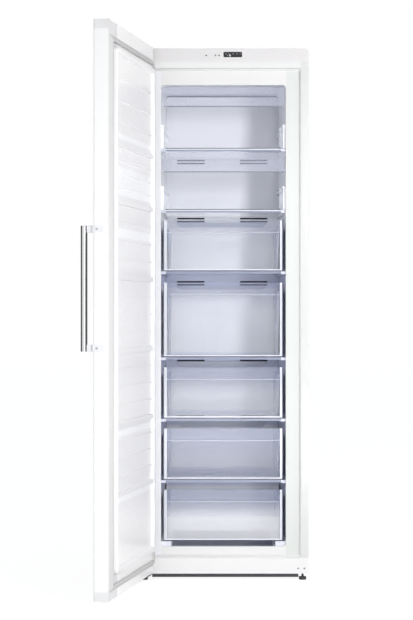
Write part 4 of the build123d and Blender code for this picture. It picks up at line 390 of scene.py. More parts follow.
def tint(mat, mask, colour, alpha=None):
    """Blends the base colour, and if asked the opacity, to a new value by a mask."""
    nodes = mat.node_tree.nodes
    links = mat.node_tree.links
    shader = nodes["Principled BSDF"]
    before = shader.inputs["Base Color"].links[0].from_socket
    blend = nodes.new("ShaderNodeMix")
    blend.data_type = "RGBA"
    blend.inputs["B"].default_value = (*colour, 1)
    links.new(mask, blend.inputs["Factor"])
    links.new(before, blend.inputs["A"])
    links.new(blend.outputs["Result"], shader.inputs["Base Color"])
    if alpha is None:
        return
    see = nodes.new("ShaderNodeMix")
    see.data_type = "FLOAT"
    if shader.inputs["Alpha"].links:
        links.new(shader.inputs["Alpha"].links[0].from_socket, see.inputs["A"])
    else:
        see.inputs["A"].default_value = shader.inputs["Alpha"].default_value
    see.inputs["B"].default_value = alpha
    links.new(mask, see.inputs["Factor"])
    links.new(see.outputs["Result"], shader.inputs["Alpha"])


def combine(mat, masks, how):
    """Joins masks: MAXIMUM is 1 where any of them is, MULTIPLY where all of them are."""
    joined = masks[0]
    for mask in masks[1:]:
        both = mat.node_tree.nodes.new("ShaderNodeMath")
        both.operation = how
        mat.node_tree.links.new(joined, both.inputs[0])
        mat.node_tree.links.new(mask, both.inputs[1])
        joined = both.outputs[0]
    return joined


# %% [markdown]
# ## Narrow gaps
# Little light finds its way into a gap of a few millimetres. The tone is deepened where
# another surface is near, so the effect goes away when the part that makes the gap moves off.

# %% Gap helper
ENCLOSED = 0.42
OPEN = 0.92


def deepen_gaps(mat, reach, dark, where):
    """Darkens the base colour, inside a mask, where another surface is near."""
    nodes = mat.node_tree.nodes
    links = mat.node_tree.links
    shader = nodes["Principled BSDF"]
    before = shader.inputs["Base Color"].links[0].from_socket
    near = nodes.new("ShaderNodeAmbientOcclusion")
    near.samples = 6
    near.inputs["Distance"].default_value = reach
    open_part = nodes.new("ShaderNodeMapRange")
    open_part.inputs["From Min"].default_value = ENCLOSED
    open_part.inputs["From Max"].default_value = OPEN
    open_part.inputs["To Min"].default_value = -1.0
    open_part.inputs["To Max"].default_value = 0.0
    keep = nodes.new("ShaderNodeMath")
    keep.operation = "MULTIPLY_ADD"
    keep.inputs[2].default_value = 1.0
    blend = nodes.new("ShaderNodeMix")
    blend.data_type = "RGBA"
    blend.inputs["A"].default_value = (*dark, 1)
    links.new(near.outputs["AO"], open_part.inputs["Value"])
    links.new(open_part.outputs["Result"], keep.inputs[0])
    links.new(where, keep.inputs[1])
    links.new(keep.outputs[0], blend.inputs["Factor"])
    links.new(before, blend.inputs["B"])
    links.new(blend.outputs["Result"], shader.inputs["Base Color"])


def wear(names, mat):
    """Puts one material on all the slots of some solids."""
    for name in names:
        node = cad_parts[name]
        if not node.data.materials:
            node.data.materials.append(mat)
        for index in range(len(node.data.materials)):
            node.data.materials[index] = mat


# %% [markdown]
# ## Enamel
# Cabinet and door are sheet steel with white enamel and a clear gloss. Three tones are laid
# on it for the open pose, all painted light and shade: the cabinet's right edge is a little
# greyer, painted shade, the low rail a little lighter, painted light, and a strip along the
# door's free edge lighter still, a painted highlight. The door's own copy of the enamel is
# darker all over, painted shade.

# %% Enamel
RIGHT_EDGE = 0.2700
RAIL_TOP = 0.0765
DOOR_EDGE_DEPTH = 0.030
enamel = finish(
    "white_enamel", (0.75, 0.75, 0.747), (0.735, 0.735, 0.732), 0.22, cloud=2.0, grain=900,
    bump=0.02, coat=0.35,
)
# Painted shade: the cabinet's right edge is a little greyer.
tint(enamel, axis_mask(enamel, "X", RIGHT_EDGE, 1.0), (0.65, 0.66, 0.65))
# Painted light: the low rail is a little lighter.
tint(enamel, axis_mask(enamel, "Z", 0.0, RAIL_TOP), (0.79, 0.785, 0.785))
# The door's copy of the enamel is darker all over: painted shade.
door_enamel = finish(
    "door_enamel", (0.69, 0.69, 0.687), (0.675, 0.675, 0.675), 0.22, cloud=2.0, grain=900,
    bump=0.02, coat=0.35,
)
# Painted highlight: a lighter strip along the door's free edge.
swung_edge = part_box("door_skin")[0][1] + DOOR_EDGE_DEPTH
tint(door_enamel, axis_mask(door_enamel, "Y", -2.0, swung_edge, 0.004), (0.885, 0.885, 0.88))
wear(["cabinet_wrapper", "lower_front_rail"], enamel)
wear(["door_skin"], door_enamel)
print("enamel done")

# %% [markdown]
# ## Moulded whites
# The fascia and the door's end caps are moulded in a white that is meant to match the enamel
# and is always a touch off. The top cap is painted darker from the free edge towards the hinge,
# painted shade.

# %% Moulded whites
CAP_COLOUR = (0.78, 0.78, 0.78)
CAP_SHADE = (0.76, 0.76, 0.765)
moulded_white = finish(
    "moulded_white", (0.695, 0.68, 0.685), (0.675, 0.66, 0.665), 0.34, grain=1500, bump=0.04
)
cap_white = finish("cap_white", CAP_COLOUR, CAP_SHADE, 0.34, grain=1500, bump=0.04)
top_cap = finish("top_cap", CAP_COLOUR, CAP_SHADE, 0.34, grain=1500, bump=0.04)
# Painted shade: the top cap darkens from the free edge towards the hinge.
tint(top_cap, axis_mask(top_cap, "X", -0.40, 1.0, 0.14), (0.60, 0.60, 0.585))
wear(["control_fascia"], moulded_white)
wear(["door_bottom_cap", "top_hinge_cover"], cap_white)
wear(["door_top_cap"], top_cap)
print("moulded whites done")

# %% [markdown]
# ## Metal and black parts
# The back and the base are zinc-coated sheet with its cloudy pattern. Hinges and compressor
# are painted black, the feet, rollers and base strip are black plastic, and pins are steel.

# %% Metal and black parts
zinc = finish(
    "zinc_sheet", (0.62, 0.63, 0.64), (0.48, 0.49, 0.51), 0.35, cloud=28, grain=220,
    spread=0.2, bump=0.05, metallic=0.9,
)
black_steel = finish(
    "black_steel", (0.022, 0.022, 0.026), (0.035, 0.035, 0.04), 0.4, grain=1300, bump=0.08
)
black_plastic = finish(
    "black_plastic", (0.018, 0.018, 0.022), (0.03, 0.03, 0.034), 0.5, grain=1800, bump=0.12
)
steel = finish(
    "turned_steel", (0.55, 0.56, 0.58), (0.42, 0.43, 0.45), 0.28, group=brushed, grain=1200,
    metallic=1.0,
)
dark_zinc = finish(
    "dark_zinc", (0.20, 0.20, 0.21), (0.13, 0.13, 0.14), 0.35, grain=1200, metallic=0.8
)
wear(["back_panel", "base_pan", "rear_cover"], zinc)
wear(["top_hinge_bracket", "bottom_hinge_bracket", "compressor"], black_steel)
wear(["base_strip", "cable_inlet", "rear_roller_left", "rear_roller_right"], black_plastic)
wear(["front_foot_left", "front_foot_right"], black_plastic)
wear(["hinge_pins", "roller_axles", "handle_screws"], steel)
wear(["frame_screws"], dark_zinc)
print("outside finished")

# %% [markdown]
# ## Liner
# The liner is vacuum-formed white plastic. Its flange at the front is near the white of the
# cabinet; painted light makes it lighter on the left, where the open door shades it, and
# painted shade makes it darker on the right, where the lamps light it strongly. Inside the
# cavity it is lighter and slightly blue, painted light that keeps the deep cavity bright. A
# mask on depth blends the two. The side walls are painted lighter than the back, painted
# shadows lie under the lower shelves, and the liner behind the duct cover, seen through its
# slots, is painted nearly black, painted shade.

# %% Liner
FLANGE_X = 0.2190
WALL_X = 0.200
SHADE_DEPTH = 0.058
SHADE_TONE = (0.60, 0.635, 0.80)
liner = finish(
    "liner_sheet", (0.735, 0.73, 0.73), (0.72, 0.715, 0.715), 0.30, cloud=4, grain=700, bump=0.03
)
# Painted light on the left flange and painted shade on the right flange.
tint(liner, axis_mask(liner, "X", -1.0, -FLANGE_X, 0.001), (0.79, 0.79, 0.83))
tint(liner, axis_mask(liner, "X", FLANGE_X, 1.0, 0.001), (0.645, 0.665, 0.645))
# Painted light: inside the cavity the sheet is lighter and slightly blue.
deep = axis_mask(liner, "Y", FRONT + 0.020, 1.0, 0.012)
tint(liner, deep, (0.88, 0.895, 0.955))
# Painted light: the side walls are lighter than the back.
for low_x, high_x, painted_wall_tone in (
    (-1.0, -WALL_X, (0.98, 0.985, 1.0)),
    (WALL_X, 1.0, (0.93, 0.94, 0.99)),
):
    wall = combine(liner, [deep, axis_mask(liner, "X", low_x, high_x)], "MULTIPLY")
    tint(liner, wall, painted_wall_tone)
# Painted shadow under each of the lower shelves.
for level in SHELF_LEVELS[:4]:
    shade_band = axis_mask(liner, "Z", level - SHADE_DEPTH, level, 0.012)
    tint(liner, combine(liner, [deep, shade_band], "MULTIPLY"), SHADE_TONE)
# Painted shade: the liner behind the duct cover is nearly black.
tint(liner, axis_mask(liner, "Y", FRONT + 0.448, 1.0, 0.002), (0.02, 0.022, 0.035))
wear(["cabinet_liner"], liner)
print("liner done")

# %% [markdown]
# ## Gaps around the drawers
# The drawers run close to the side walls, and the lowest one close above the floor. The liner
# is deepened there with painted shade, but beside the drawers only at their height, so that the
# open shelves stay light. The cavity's floor up to the top of each runner is painted darker as
# well, painted shade.

# %% Gaps around the drawers
RUNNER_TOP = 0.1290
GAP_REACH = 0.050
GAP_TONE = (0.035, 0.040, 0.095)
side_walls = combine(
    liner, [axis_mask(liner, "X", 0.2060, 1.0), axis_mask(liner, "X", -1.0, -0.2060)], "MAXIMUM"
)
drawer_heights = combine(
    liner,
    [axis_mask(liner, "Z", low[2], high[2] - 0.012, 0.012) for low, high in DRAWERS.values()],
    "MAXIMUM",
)
behind_mouth = axis_mask(liner, "Y", FRONT + 0.0240, 1.0, 0.004)
beside_drawers = combine(liner, [side_walls, drawer_heights, behind_mouth], "MULTIPLY")
# Painted shade: the cavity's floor up to the top of each runner is darker.
runner_floor_shade = combine(liner, [deep, axis_mask(liner, "Z", 0.0, RUNNER_TOP, 0.002)], "MULTIPLY")
tint(liner, runner_floor_shade, (0.66, 0.67, 0.75))
under_drawers = combine(
    liner,
    [
        axis_mask(liner, "X", -0.1800, 0.1745),
        axis_mask(liner, "Y", FRONT + 0.0150, 1.0),
        axis_mask(liner, "Z", 0.0, RUNNER_TOP, 0.002),
    ],
    "MULTIPLY",
)
# Painted shade in the narrow gaps beside and under the drawers.
gaps = combine(liner, [beside_drawers, under_drawers], "MAXIMUM")
deepen_gaps(liner, GAP_REACH, GAP_TONE, gaps)
print("gaps done")

# %% [markdown]
# ## Duct cover and door liner
# The duct cover is the same cold white sheet as the cavity, lighter by the same painted light,
# with the same painted shadows under the shelves. The door's sheet is warmer and glossier. A
# few lighter bands on it are painted highlights on the raised panels, and its wall towards the
# free edge is painted darker, painted shade.

# %% Duct cover and door liner
DOOR_HIGHLIGHTS = (
    (1.305, 1.395), (1.485, 1.502), (1.170, 1.200), (0.535, 0.555), (0.325, 0.345),
)
DOOR_WALL_X = -0.345
# Painted light: the duct sheet is as light as the cavity's sheet.
duct_sheet = finish(
    "duct_sheet", (0.885, 0.895, 0.95), (0.865, 0.875, 0.935), 0.32, cloud=4, grain=700, bump=0.03
)
# Painted shadow under each of the lower shelves.
for level in SHELF_LEVELS[:4]:
    tint(duct_sheet, axis_mask(duct_sheet, "Z", level - SHADE_DEPTH, level, 0.012), SHADE_TONE)
door_sheet = finish(
    "door_sheet", (0.915, 0.90, 0.90), (0.90, 0.885, 0.885), 0.24, cloud=4, grain=700, bump=0.03
)
# Painted highlights on the door's raised panels.
for low_z, high_z in DOOR_HIGHLIGHTS:
    tint(door_sheet, axis_mask(door_sheet, "Z", low_z, high_z, 0.006), (0.99, 0.985, 0.985))
# Painted shade: the door's wall towards the free edge is darker.
tint(door_sheet, axis_mask(door_sheet, "X", -1.0, DOOR_WALL_X, 0.002), (0.71, 0.695, 0.705))
gasket = finish(
    "gasket_vinyl", (0.57, 0.565, 0.565), (0.55, 0.545, 0.545), 0.5, grain=900, bump=0.08
)
wear(["air_duct_cover"], duct_sheet)
wear(["door_liner"], door_sheet)
wear(["door_gasket"], gasket)
print("duct cover and door liner done")

# %% [markdown]
# ## Hidden works
# Behind the liner are foam, a circuit board, copper tubes, the finned evaporator, the fan and
# the drain. They get plain materials, for when someone takes the model apart.

# %% Hidden works
foam = finish(
    "rigid_foam", (0.80, 0.70, 0.46), (0.66, 0.56, 0.34), 0.85, cloud=40, grain=320, spread=0.1,
    bump=0.5,
)
board = finish(
    "circuit_board", (0.02, 0.16, 0.07), (0.03, 0.22, 0.10), 0.35, cloud=90, grain=300, bump=0.1
)
copper = finish(
    "copper_tube", (0.66, 0.34, 0.20), (0.52, 0.25, 0.15), 0.3, grain=400, metallic=1.0
)
fins = finish(
    "fin_metal", (0.75, 0.76, 0.77), (0.62, 0.63, 0.65), 0.35, group=brushed, grain=900,
    metallic=1.0,
)
grey_plastic = finish(
    "grey_plastic", (0.33, 0.34, 0.36), (0.27, 0.28, 0.30), 0.5, grain=1500, bump=0.1
)
rubber = finish("soft_rubber", (0.02, 0.02, 0.02), (0.04, 0.04, 0.04), 0.75, grain=700, bump=0.2)
wear(["cabinet_foam", "door_foam"], foam)
wear(["control_board"], board)
wear(["refrigerant_tubes"], copper)
wear(["evaporator"], fins)
wear(["fan_motor", "drip_tray", "drain_tube"], grey_plastic)
wear(["compressor_mounts", "fan_rotor", "hinge_bushes"], rubber)
print("hidden works done")

# %% [markdown]
# ## Glass shelves and their trims
# The shelves are float glass, seen almost edge on. Each has a clear extruded trim along its
# front, and moulded white caps at both ends. The trim's lavender grey is painted shade, the
# dark gap behind it laid on the clear trim as a nearly opaque colour. On the open shelves a
# light line along the glass's front edge is a painted highlight. The caps are the same solid
# as the trim, so a mask on X lightens them, the right one more than the left, painted light
# and shade.

# %% Shelf finishes
def let_light_in(mat, shadow_alpha):
    """Gives a clear material another opacity for shadow rays, so light gets behind it."""
    nodes = mat.node_tree.nodes
    shader = nodes["Principled BSDF"]
    seen_alpha = shader.inputs["Alpha"].default_value
    path = nodes.new("ShaderNodeLightPath")
    opacity = nodes.new("ShaderNodeMath")
    opacity.operation = "MULTIPLY_ADD"
    opacity.inputs[1].default_value = shadow_alpha - seen_alpha
    opacity.inputs[2].default_value = seen_alpha
    mat.node_tree.links.new(path.outputs["Is Shadow Ray"], opacity.inputs[0])
    mat.node_tree.links.new(opacity.outputs[0], shader.inputs["Alpha"])


shelf_glass = finish(
    "shelf_glass", (0.62, 0.72, 0.76), (0.58, 0.68, 0.72), 0.04, cloud=3, grain=200, spread=0.02,
    bump=0.0, alpha=0.10,
)
let_light_in(shelf_glass, 0.42)
# Painted shade: the clear trim takes the lavender grey of the dark gap behind it.
trim = finish(
    "trim_clear_painted_shade", (0.30, 0.33, 0.45), (0.26, 0.29, 0.41), 0.22, grain=900, bump=0.03, alpha=0.9
)
CAP_INNER = WALL_HALF - 0.016
# Painted highlight: a light line along the glass's front edge on the open shelves.
for level in SHELF_LEVELS[4:]:
    tint(trim, axis_mask(trim, "Z", level - 0.0035, level + 0.001), (0.74, 0.77, 0.82), 1.0)
# Caps lighter than the trim, the right cap lighter than the left: painted light and shade.
tint(trim, axis_mask(trim, "X", CAP_INNER, 1.0), (0.66, 0.68, 0.78), 1.0)
tint(trim, axis_mask(trim, "X", -1.0, -CAP_INNER), (0.58, 0.60, 0.70), 1.0)
wear([f"glass_shelf_{n}" for n in range(1, 7)], shelf_glass)
wear(["shelf_trims"], trim)
print("shelves finished")

# %% [markdown]
# ## Drawers
# The drawers are clear moulded plastic with a cold tint. A thin clear wall is made by its
# opacity: most light goes straight through and the gloss stays on top. The rims that stand
# proud of a front, its lower lip and the step of its grip ridge carry painted highlights. A
# painted shadow of the shelf above lies over each front's upper part, and painted shade makes
# dark lines under the ridge, along the foot and at both sides. The side walls are seen edge on
# and let little through, so they hide the wall beside the drawer; their darker tint is painted
# shade. How milky each front is and how dark its painted shadow goes by the drawer, from the
# lowest, 1, to the highest, 5. Front 1 is painted lighter all over, painted light, and front 2
# darker, painted shade.


# %% Drawer finishes
def clear_plastic(name, alpha):
    """The drawers' tinted clear plastic, with its opacity."""
    mat = finish(
        name, (0.82, 0.85, 0.94), (0.79, 0.83, 0.93), 0.10, cloud=5, grain=300, spread=0.03,
        bump=0.02, alpha=alpha,
    )
    let_light_in(mat, 0.0)
    return mat


def tub_finish(number):
    """Clear plastic whose side walls are dense, with a darker tint of painted shade."""
    painted_wall_tone = (0.66, 0.70, 0.86)
    mat = clear_plastic(f"drawer_tub_{number}_plastic", 0.04)
    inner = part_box(f"drawer_tub_{number}")[1][0] - 0.016
    # Painted shade on the side walls keeps the gap beside the drawer dark.
    tint(mat, axis_mask(mat, "X", inner, 1.0, 0.004), painted_wall_tone, 0.50)
    tint(mat, axis_mask(mat, "X", -1.0, -inner - 0.004, 0.004), painted_wall_tone, 0.50)
    return mat


# Per drawer: the shelf's painted shadow, the milkiness, and a painted tone for fronts 1 and 2.
SHELF_SHADOW = {1: 0.22, 2: 0.30, 3: 0.18, 4: 0.09, 5: 0.06}
MILK_AND_PAINTED_TONE = {1: 0.30, 2: 0.26, 3: 0.10, 4: 0.08, 5: 0.07}
BODY_LIGHT_AND_SHADE = {1: (0.93, 0.94, 0.97), 2: (0.27, 0.30, 0.41)}


def front_finish(number):
    """Clear plastic with painted highlights on its rims, painted shadow and painted shade."""
    mat = clear_plastic(f"drawer_front_{number}_plastic", MILK_AND_PAINTED_TONE[number])
    # Painted light on front 1 and painted shade on front 2, over the whole front.
    if number in BODY_LIGHT_AND_SHADE:
        tint(mat, axis_mask(mat, "Z", -1.0, 2.0), BODY_LIGHT_AND_SHADE[number])
    low, high = DRAWERS[number]
    painted_highlight = (0.84, 0.86, 0.93)
    painted_shadow = (0.34, 0.38, 0.54)
    gap_shade = (0.05, 0.06, 0.12)
    inner = high[0] - 0.012
    ridge = high[2] - 0.0420
    # Painted shadow of the shelf above, over the front's upper part.
    tint(mat, axis_mask(mat, "Z", ridge - 0.060, 2.0, 0.060), painted_shadow, SHELF_SHADOW[number])
    tint(mat, axis_mask(mat, "Z", ridge, 2.0, 0.001), painted_shadow, SHELF_SHADOW[number] + 0.06)
    # Painted shade and a painted highlight along the step of the grip ridge.
    tint(mat, axis_mask(mat, "Z", ridge - 0.0030, ridge - 0.0015, 0.0003), painted_shadow, 0.55)
    tint(mat, axis_mask(mat, "Z", ridge - 0.0015, ridge, 0.0003), painted_highlight, 0.50)
    # Painted highlights on the side rims and the lower lip.
    tint(mat, axis_mask(mat, "X", inner, 1.0), painted_highlight, 0.85)
    tint(mat, axis_mask(mat, "X", -1.0, -inner), painted_highlight, 0.70)
    tint(mat, axis_mask(mat, "Z", -1.0, low[2] + 0.0070), painted_highlight, 0.92)
    # Painted shade: a dark line along the front's foot.
    tint(mat, axis_mask(mat, "Z", -1.0, low[2] + 0.0030), (0.03, 0.035, 0.07), 1.0)
    # Painted shade at the sides, where the gap beside the drawer is in shade.
    tint(mat, axis_mask(mat, "X", high[0] - 0.0042, 1.0), gap_shade, 1.0)
    tint(mat, axis_mask(mat, "X", -1.0, low[0] + 0.0010), gap_shade, 1.0)
    return mat


for number in DRAWERS:
    wear([f"drawer_tub_{number}"], tub_finish(number))
    wear([f"drawer_front_{number}"], front_finish(number))
print("drawers finished")

# %% [markdown]
# ## Flaps and window
# The flaps are the same clear plastic, a little duskier, with a dark line of painted shade
# along the lower edge, where one looks through the whole depth of the sheet. The display's
# window is black.


# %% Flap finish
def flap_finish(node):
    """Clear plastic with painted shade along its lower edge."""
    mat = clear_plastic(f"{node}_plastic", 0.14)
    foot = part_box(node)[0][2]
    tint(mat, axis_mask(mat, "Z", -1.0, 3.0), (0.54, 0.57, 0.70), 0.24)
    # Painted shade: a dark line along the lower edge.
    tint(mat, axis_mask(mat, "Z", -1.0, foot + 0.0030), (0.22, 0.23, 0.29), 0.9)
    return mat


for flap in ("flap_upper", "flap_lower"):
    wear([flap], flap_finish(flap))
display_black = finish(
    "display_black", (0.006, 0.006, 0.008), (0.010, 0.010, 0.012), 0.12, grain=900, bump=0.01
)
wear(["display_window"], display_black)
print("flaps and display finished")

# %% [markdown]
# ## Handle
# The bar is chrome-plated and its brackets are pale plastic. Chrome is a mirror, so it only
# needs a fine brush line and a little roughness to look like metal instead of glass. Chrome
# shows dark reflections along its rounded edges; here they are a painted reflection, a dark
# tone without metal laid on the edges.

# %% Handle finishes
chrome = finish(
    "bar_chrome", (0.72, 0.73, 0.75), (0.66, 0.67, 0.69), 0.12, group=brushed, cloud=20,
    grain=2500, spread=0.08, bump=0.02, metallic=1.0,
)
pale_plastic = finish(
    "bracket_plastic", (0.80, 0.80, 0.82), (0.76, 0.76, 0.79), 0.35, grain=1500, bump=0.05
)
bar_low, bar_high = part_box("handle_bar")
# Painted reflection: dark lines along the bar's two rounded edges.
bar_edge_reflection = combine(
    chrome,
    [
        axis_mask(chrome, "X", -1.0, bar_low[0] + 0.0050, 0.001),
        axis_mask(chrome, "X", bar_high[0] - 0.0065, 1.0, 0.001),
    ],
    "MAXIMUM",
)
tint(chrome, bar_edge_reflection, (0.045, 0.047, 0.045))
# The painted reflection has no metal; the rest of the bar is plated.
plated = chrome.node_tree.nodes.new("ShaderNodeMath")
plated.operation = "SUBTRACT"
plated.inputs[0].default_value = 1.0
chrome.node_tree.links.new(bar_edge_reflection, plated.inputs[1])
chrome.node_tree.links.new(
    plated.outputs[0], chrome.node_tree.nodes["Principled BSDF"].inputs["Metallic"]
)
wear(["handle_bar"], chrome)
wear(["handle_brackets"], pale_plastic)
print("handle finished")

# %% [markdown]
# ## Tools for the added pieces
# The small parts start as a box, because nearly all of them are moulded bars and plates. The
# box gets its size, its faces are then shaped in edit mode, and all its edges are rounded,
# because a moulded edge always catches a thin line of light.


# %% Piece helpers
def start_box(name, low, high):
    """Adds a box between two corners and leaves it in edit mode with nothing selected."""
    bpy.ops.object.select_all(action="DESELECT")
    middle = [(a + b) / 2 for a, b in zip(low, high)]
    bpy.ops.mesh.primitive_cube_add(size=1, location=middle)
    piece = bpy.context.object
    piece.name = name
    piece.scale = [b - a for a, b in zip(low, high)]
    bpy.ops.object.transform_apply(location=True, rotation=True, scale=True)
    bpy.ops.object.mode_set(mode="EDIT")
    bpy.ops.mesh.select_all(action="DESELECT")
    return piece


def pick_verts(piece, wanted):
    """Selects the vertices that pass a test on their place."""
    bpy.ops.mesh.select_mode(type="VERT")
    bpy.ops.mesh.select_all(action="DESELECT")
    shape = bmesh.from_edit_mesh(piece.data)
    for vert in shape.verts:
        if wanted(vert.co):
            vert.select_set(True)
    shape.select_flush_mode()
    bmesh.update_edit_mesh(piece.data)


def round_and_close(piece, radius, segments=2):
    """Rounds all edges, leaves edit mode and smooths the shading."""
    bpy.ops.mesh.select_all(action="SELECT")
    bpy.ops.mesh.bevel(offset=radius, segments=segments, affect="EDGES", clamp_overlap=True)
    bpy.ops.object.mode_set(mode="OBJECT")
    bpy.ops.object.shade_smooth_by_angle(angle=math.radians(35))
    return piece


def join(name, parts):
    """Joins several pieces into one."""
    bpy.ops.object.select_all(action="DESELECT")
    for part in parts:
        part.select_set(True)
    bpy.context.view_layer.objects.active = parts[0]
    if len(parts) > 1:
        bpy.ops.object.join()
    piece = bpy.context.object
    piece.name = name
    piece.data.name = name
    return piece


def dress(piece, mat, body):
    """Gives a piece its material and its body."""
    piece.data.materials.clear()
    piece.data.materials.append(mat)
    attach(piece, body)
    print("made", piece.name, "on", body)


# %% [markdown]
# ## Rebate cove
# Where the door's frame dips into the cabinet the liner has a shallow step. A formed sheet
# cannot turn a sharp corner there, so a sloping cove runs all round it. It is made of four bars
# whose front inner edge is pushed outwards, which leaves a slope that faces the room.

# %% Cove
# The cove is a lighter white than the liner around it: painted light in the step's corner.
cove_painted_light = finish(
    "cove_painted_light", (0.80, 0.80, 0.797), (0.785, 0.785, 0.782), 0.30, cloud=4, grain=700, bump=0.03
)
STEP_HALF = 0.2710
STEP_BACK = FRONT + 0.0141
STEP_FRONT = FRONT + 0.0012
STEP_LOW = 0.0787
STEP_HIGH = 1.7847
COVE = 0.0075
SLOPE = COVE - 0.0014


def cove_bar(low, high, moved, shift):
    """A bar in the step's corner; the picked front edge moves to make the slope."""
    bar = start_box("cove_bar", low, high)
    pick_verts(bar, lambda place: place.y < STEP_FRONT + 0.001 and moved(place))
    bpy.ops.transform.translate(value=shift)
    return round_and_close(bar, 0.0005)


coves = [
    cove_bar(
        (STEP_HALF - COVE, STEP_FRONT, STEP_LOW), (STEP_HALF, STEP_BACK, STEP_HIGH),
        lambda place: place.x < STEP_HALF - COVE / 2, (SLOPE, 0, 0),
    ),
    cove_bar(
        (-STEP_HALF, STEP_FRONT, STEP_LOW), (-STEP_HALF + COVE, STEP_BACK, STEP_HIGH),
        lambda place: place.x > -STEP_HALF + COVE / 2, (-SLOPE, 0, 0),
    ),
    cove_bar(
        (-STEP_HALF, STEP_FRONT, STEP_HIGH - COVE), (STEP_HALF, STEP_BACK, STEP_HIGH),
        lambda place: place.z < STEP_HIGH - COVE / 2, (0, 0, SLOPE),
    ),
    cove_bar(
        (-STEP_HALF, STEP_FRONT, STEP_LOW), (STEP_HALF, STEP_BACK, STEP_LOW + COVE),
        lambda place: place.z > STEP_LOW + COVE / 2, (0, 0, -SLOPE),
    ),
]
dress(join("rebate_cove", coves), cove_painted_light, "cabinet")

# %% [markdown]
# ## Air outlets
# Cold air leaves the duct through slots under the shelves. Below them a shallow moulded
# hood, narrower at its foot, turns the air down into the drawer. It is a box whose lower edge
# is pulled in from both sides and pushed back to the panel, which leaves a sloping face.


# %% Hoods
DUCT_FACE = FRONT + 0.440
HOOD_PROUD = 0.009
# The hoods are a darker copy of the duct sheet: painted shade below the shelves.
hood_shaded = finish(
    "hood_shaded", (0.70, 0.73, 0.83), (0.67, 0.70, 0.80), 0.36, cloud=5, grain=700, bump=0.03
)


def outlet_hood(name, top, foot):
    """A wedge on the duct panel from top down to foot, narrower at the foot."""
    hood = start_box(
        name, (-0.172, DUCT_FACE - HOOD_PROUD, foot), (0.168, DUCT_FACE + 0.001, top)
    )
    pick_verts(hood, lambda place: place.z < foot + 0.001)
    bpy.ops.transform.resize(value=(0.90, 1, 1))
    pick_verts(hood, lambda place: place.z < foot + 0.001 and place.y < DUCT_FACE - 0.001)
    bpy.ops.transform.translate(value=(0, HOOD_PROUD * 0.75, 0))
    return round_and_close(hood, 0.0018)


TOP_DROPS = (0.0315, 0.0275, 0.0455, 0.0235)
FOOT_DROPS = (0.061, 0.053, 0.060, 0.043)
hoods = []
for level, top_drop, foot_drop in zip(SHELF_LEVELS[1:5], TOP_DROPS, FOOT_DROPS):
    hoods.append(outlet_hood("hood", level - top_drop, level - foot_drop))
dress(join("outlet_hoods", hoods), hood_shaded, "cabinet")

# %% [markdown]
# ## Shelf shade strips
# The two open shelves have a dark strip along the front of the glass, painted shade for the
# line of shade there. It is a long rounded bar that sits on the trim.

# %% Shade strips
# Painted shade: a dark strip on the trim of each open shelf.
bead_shade = finish(
    "bead_shade", (0.060, 0.066, 0.080), (0.045, 0.050, 0.062), 0.5, grain=1100, bump=0.1
)
beads = []
for level in SHELF_LEVELS[4:]:
    bead = start_box(
        "bead", (-0.203, FRONT + 0.0285, level), (0.201, FRONT + 0.0325, level + 0.003)
    )
    pick_verts(bead, lambda place: place.y > FRONT + 0.032 and place.z > level + 0.002)
    bpy.ops.transform.translate(value=(0, 0, -0.0012))
    beads.append(round_and_close(bead, 0.0006))
dress(join("shelf_shade_strips", beads), bead_shade, "cabinet")

# %% [markdown]
# ## Corner guards
# At both front corners of the open shelves a small clear plate stands up against the wall and
# keeps packs from sliding out. It is a thin box with a softly rounded outline.

# %% Guards
guard_clear = clear_plastic("guard_clear", 0.16)
guards = []
for level in SHELF_LEVELS[4:]:
    for side in (-1, 1):
        edges = sorted((side * 0.1960, side * 0.2165))
        guard = start_box(
            "guard", (edges[0], FRONT + 0.0330, level), (edges[1], FRONT + 0.0350, level + 0.080)
        )
        pick_verts(guard, lambda place: place.z > level + 0.079 and abs(place.x) < 0.20)
        bpy.ops.transform.translate(value=(0, 0, -0.006))
        guards.append(round_and_close(guard, 0.0008))
dress(join("corner_guards", guards), guard_clear, "cabinet")

# %% [markdown]
# ## Display
# Behind the dark window a few symbols and the set temperature glow softly. A number in such a
# display is built of bars, so each bar is one small rounded box, placed by a table that says
# which of the seven bars a digit lights.

# %% Display digits
lit_white = finish(
    "lit_segment", (0.86, 0.87, 0.90), (0.80, 0.81, 0.85), 0.4, grain=2000, bump=0.02
)
unlit_grey = finish(
    "unlit_symbol", (0.27, 0.27, 0.28), (0.22, 0.22, 0.23), 0.4, grain=2000, bump=0.02
)
SIGN_FRONT = FRONT - 0.0003
SIGN_BACK = FRONT + 0.0004
DIGIT_WIDTH = 0.0030
DIGIT_HEIGHT = 0.0066
STROKE = 0.0009
BARS = {
    "top": (0, 2, 1, 2), "middle": (0, 1, 1, 1), "foot": (0, 0, 1, 0),
    "left up": (0, 1, 0, 2), "right up": (1, 1, 1, 2),
    "left down": (0, 0, 0, 1), "right down": (1, 0, 1, 1),
}
LIT = {
    "-": ["middle"],
    "1": ["right up", "right down"],
    "8": list(BARS),
}


def sign_bar(x0, z0, x1, z1):
    """A thin rounded bar on the display between two points."""
    half = STROKE / 2
    bar = start_box("bar", (x0 - half, SIGN_FRONT, z0 - half), (x1 + half, SIGN_BACK, z1 + half))
    return round_and_close(bar, 0.0002, 1)


def digit(sign, left, foot):
    """The lit bars of one sign."""
    bars = []
    for bar in LIT[sign]:
        x0, z0, x1, z1 = BARS[bar]
        bars.append(
            sign_bar(
                left + x0 * DIGIT_WIDTH,
                foot + z0 * DIGIT_HEIGHT / 2,
                left + x1 * DIGIT_WIDTH,
                foot + z1 * DIGIT_HEIGHT / 2,
            )
        )
    return bars


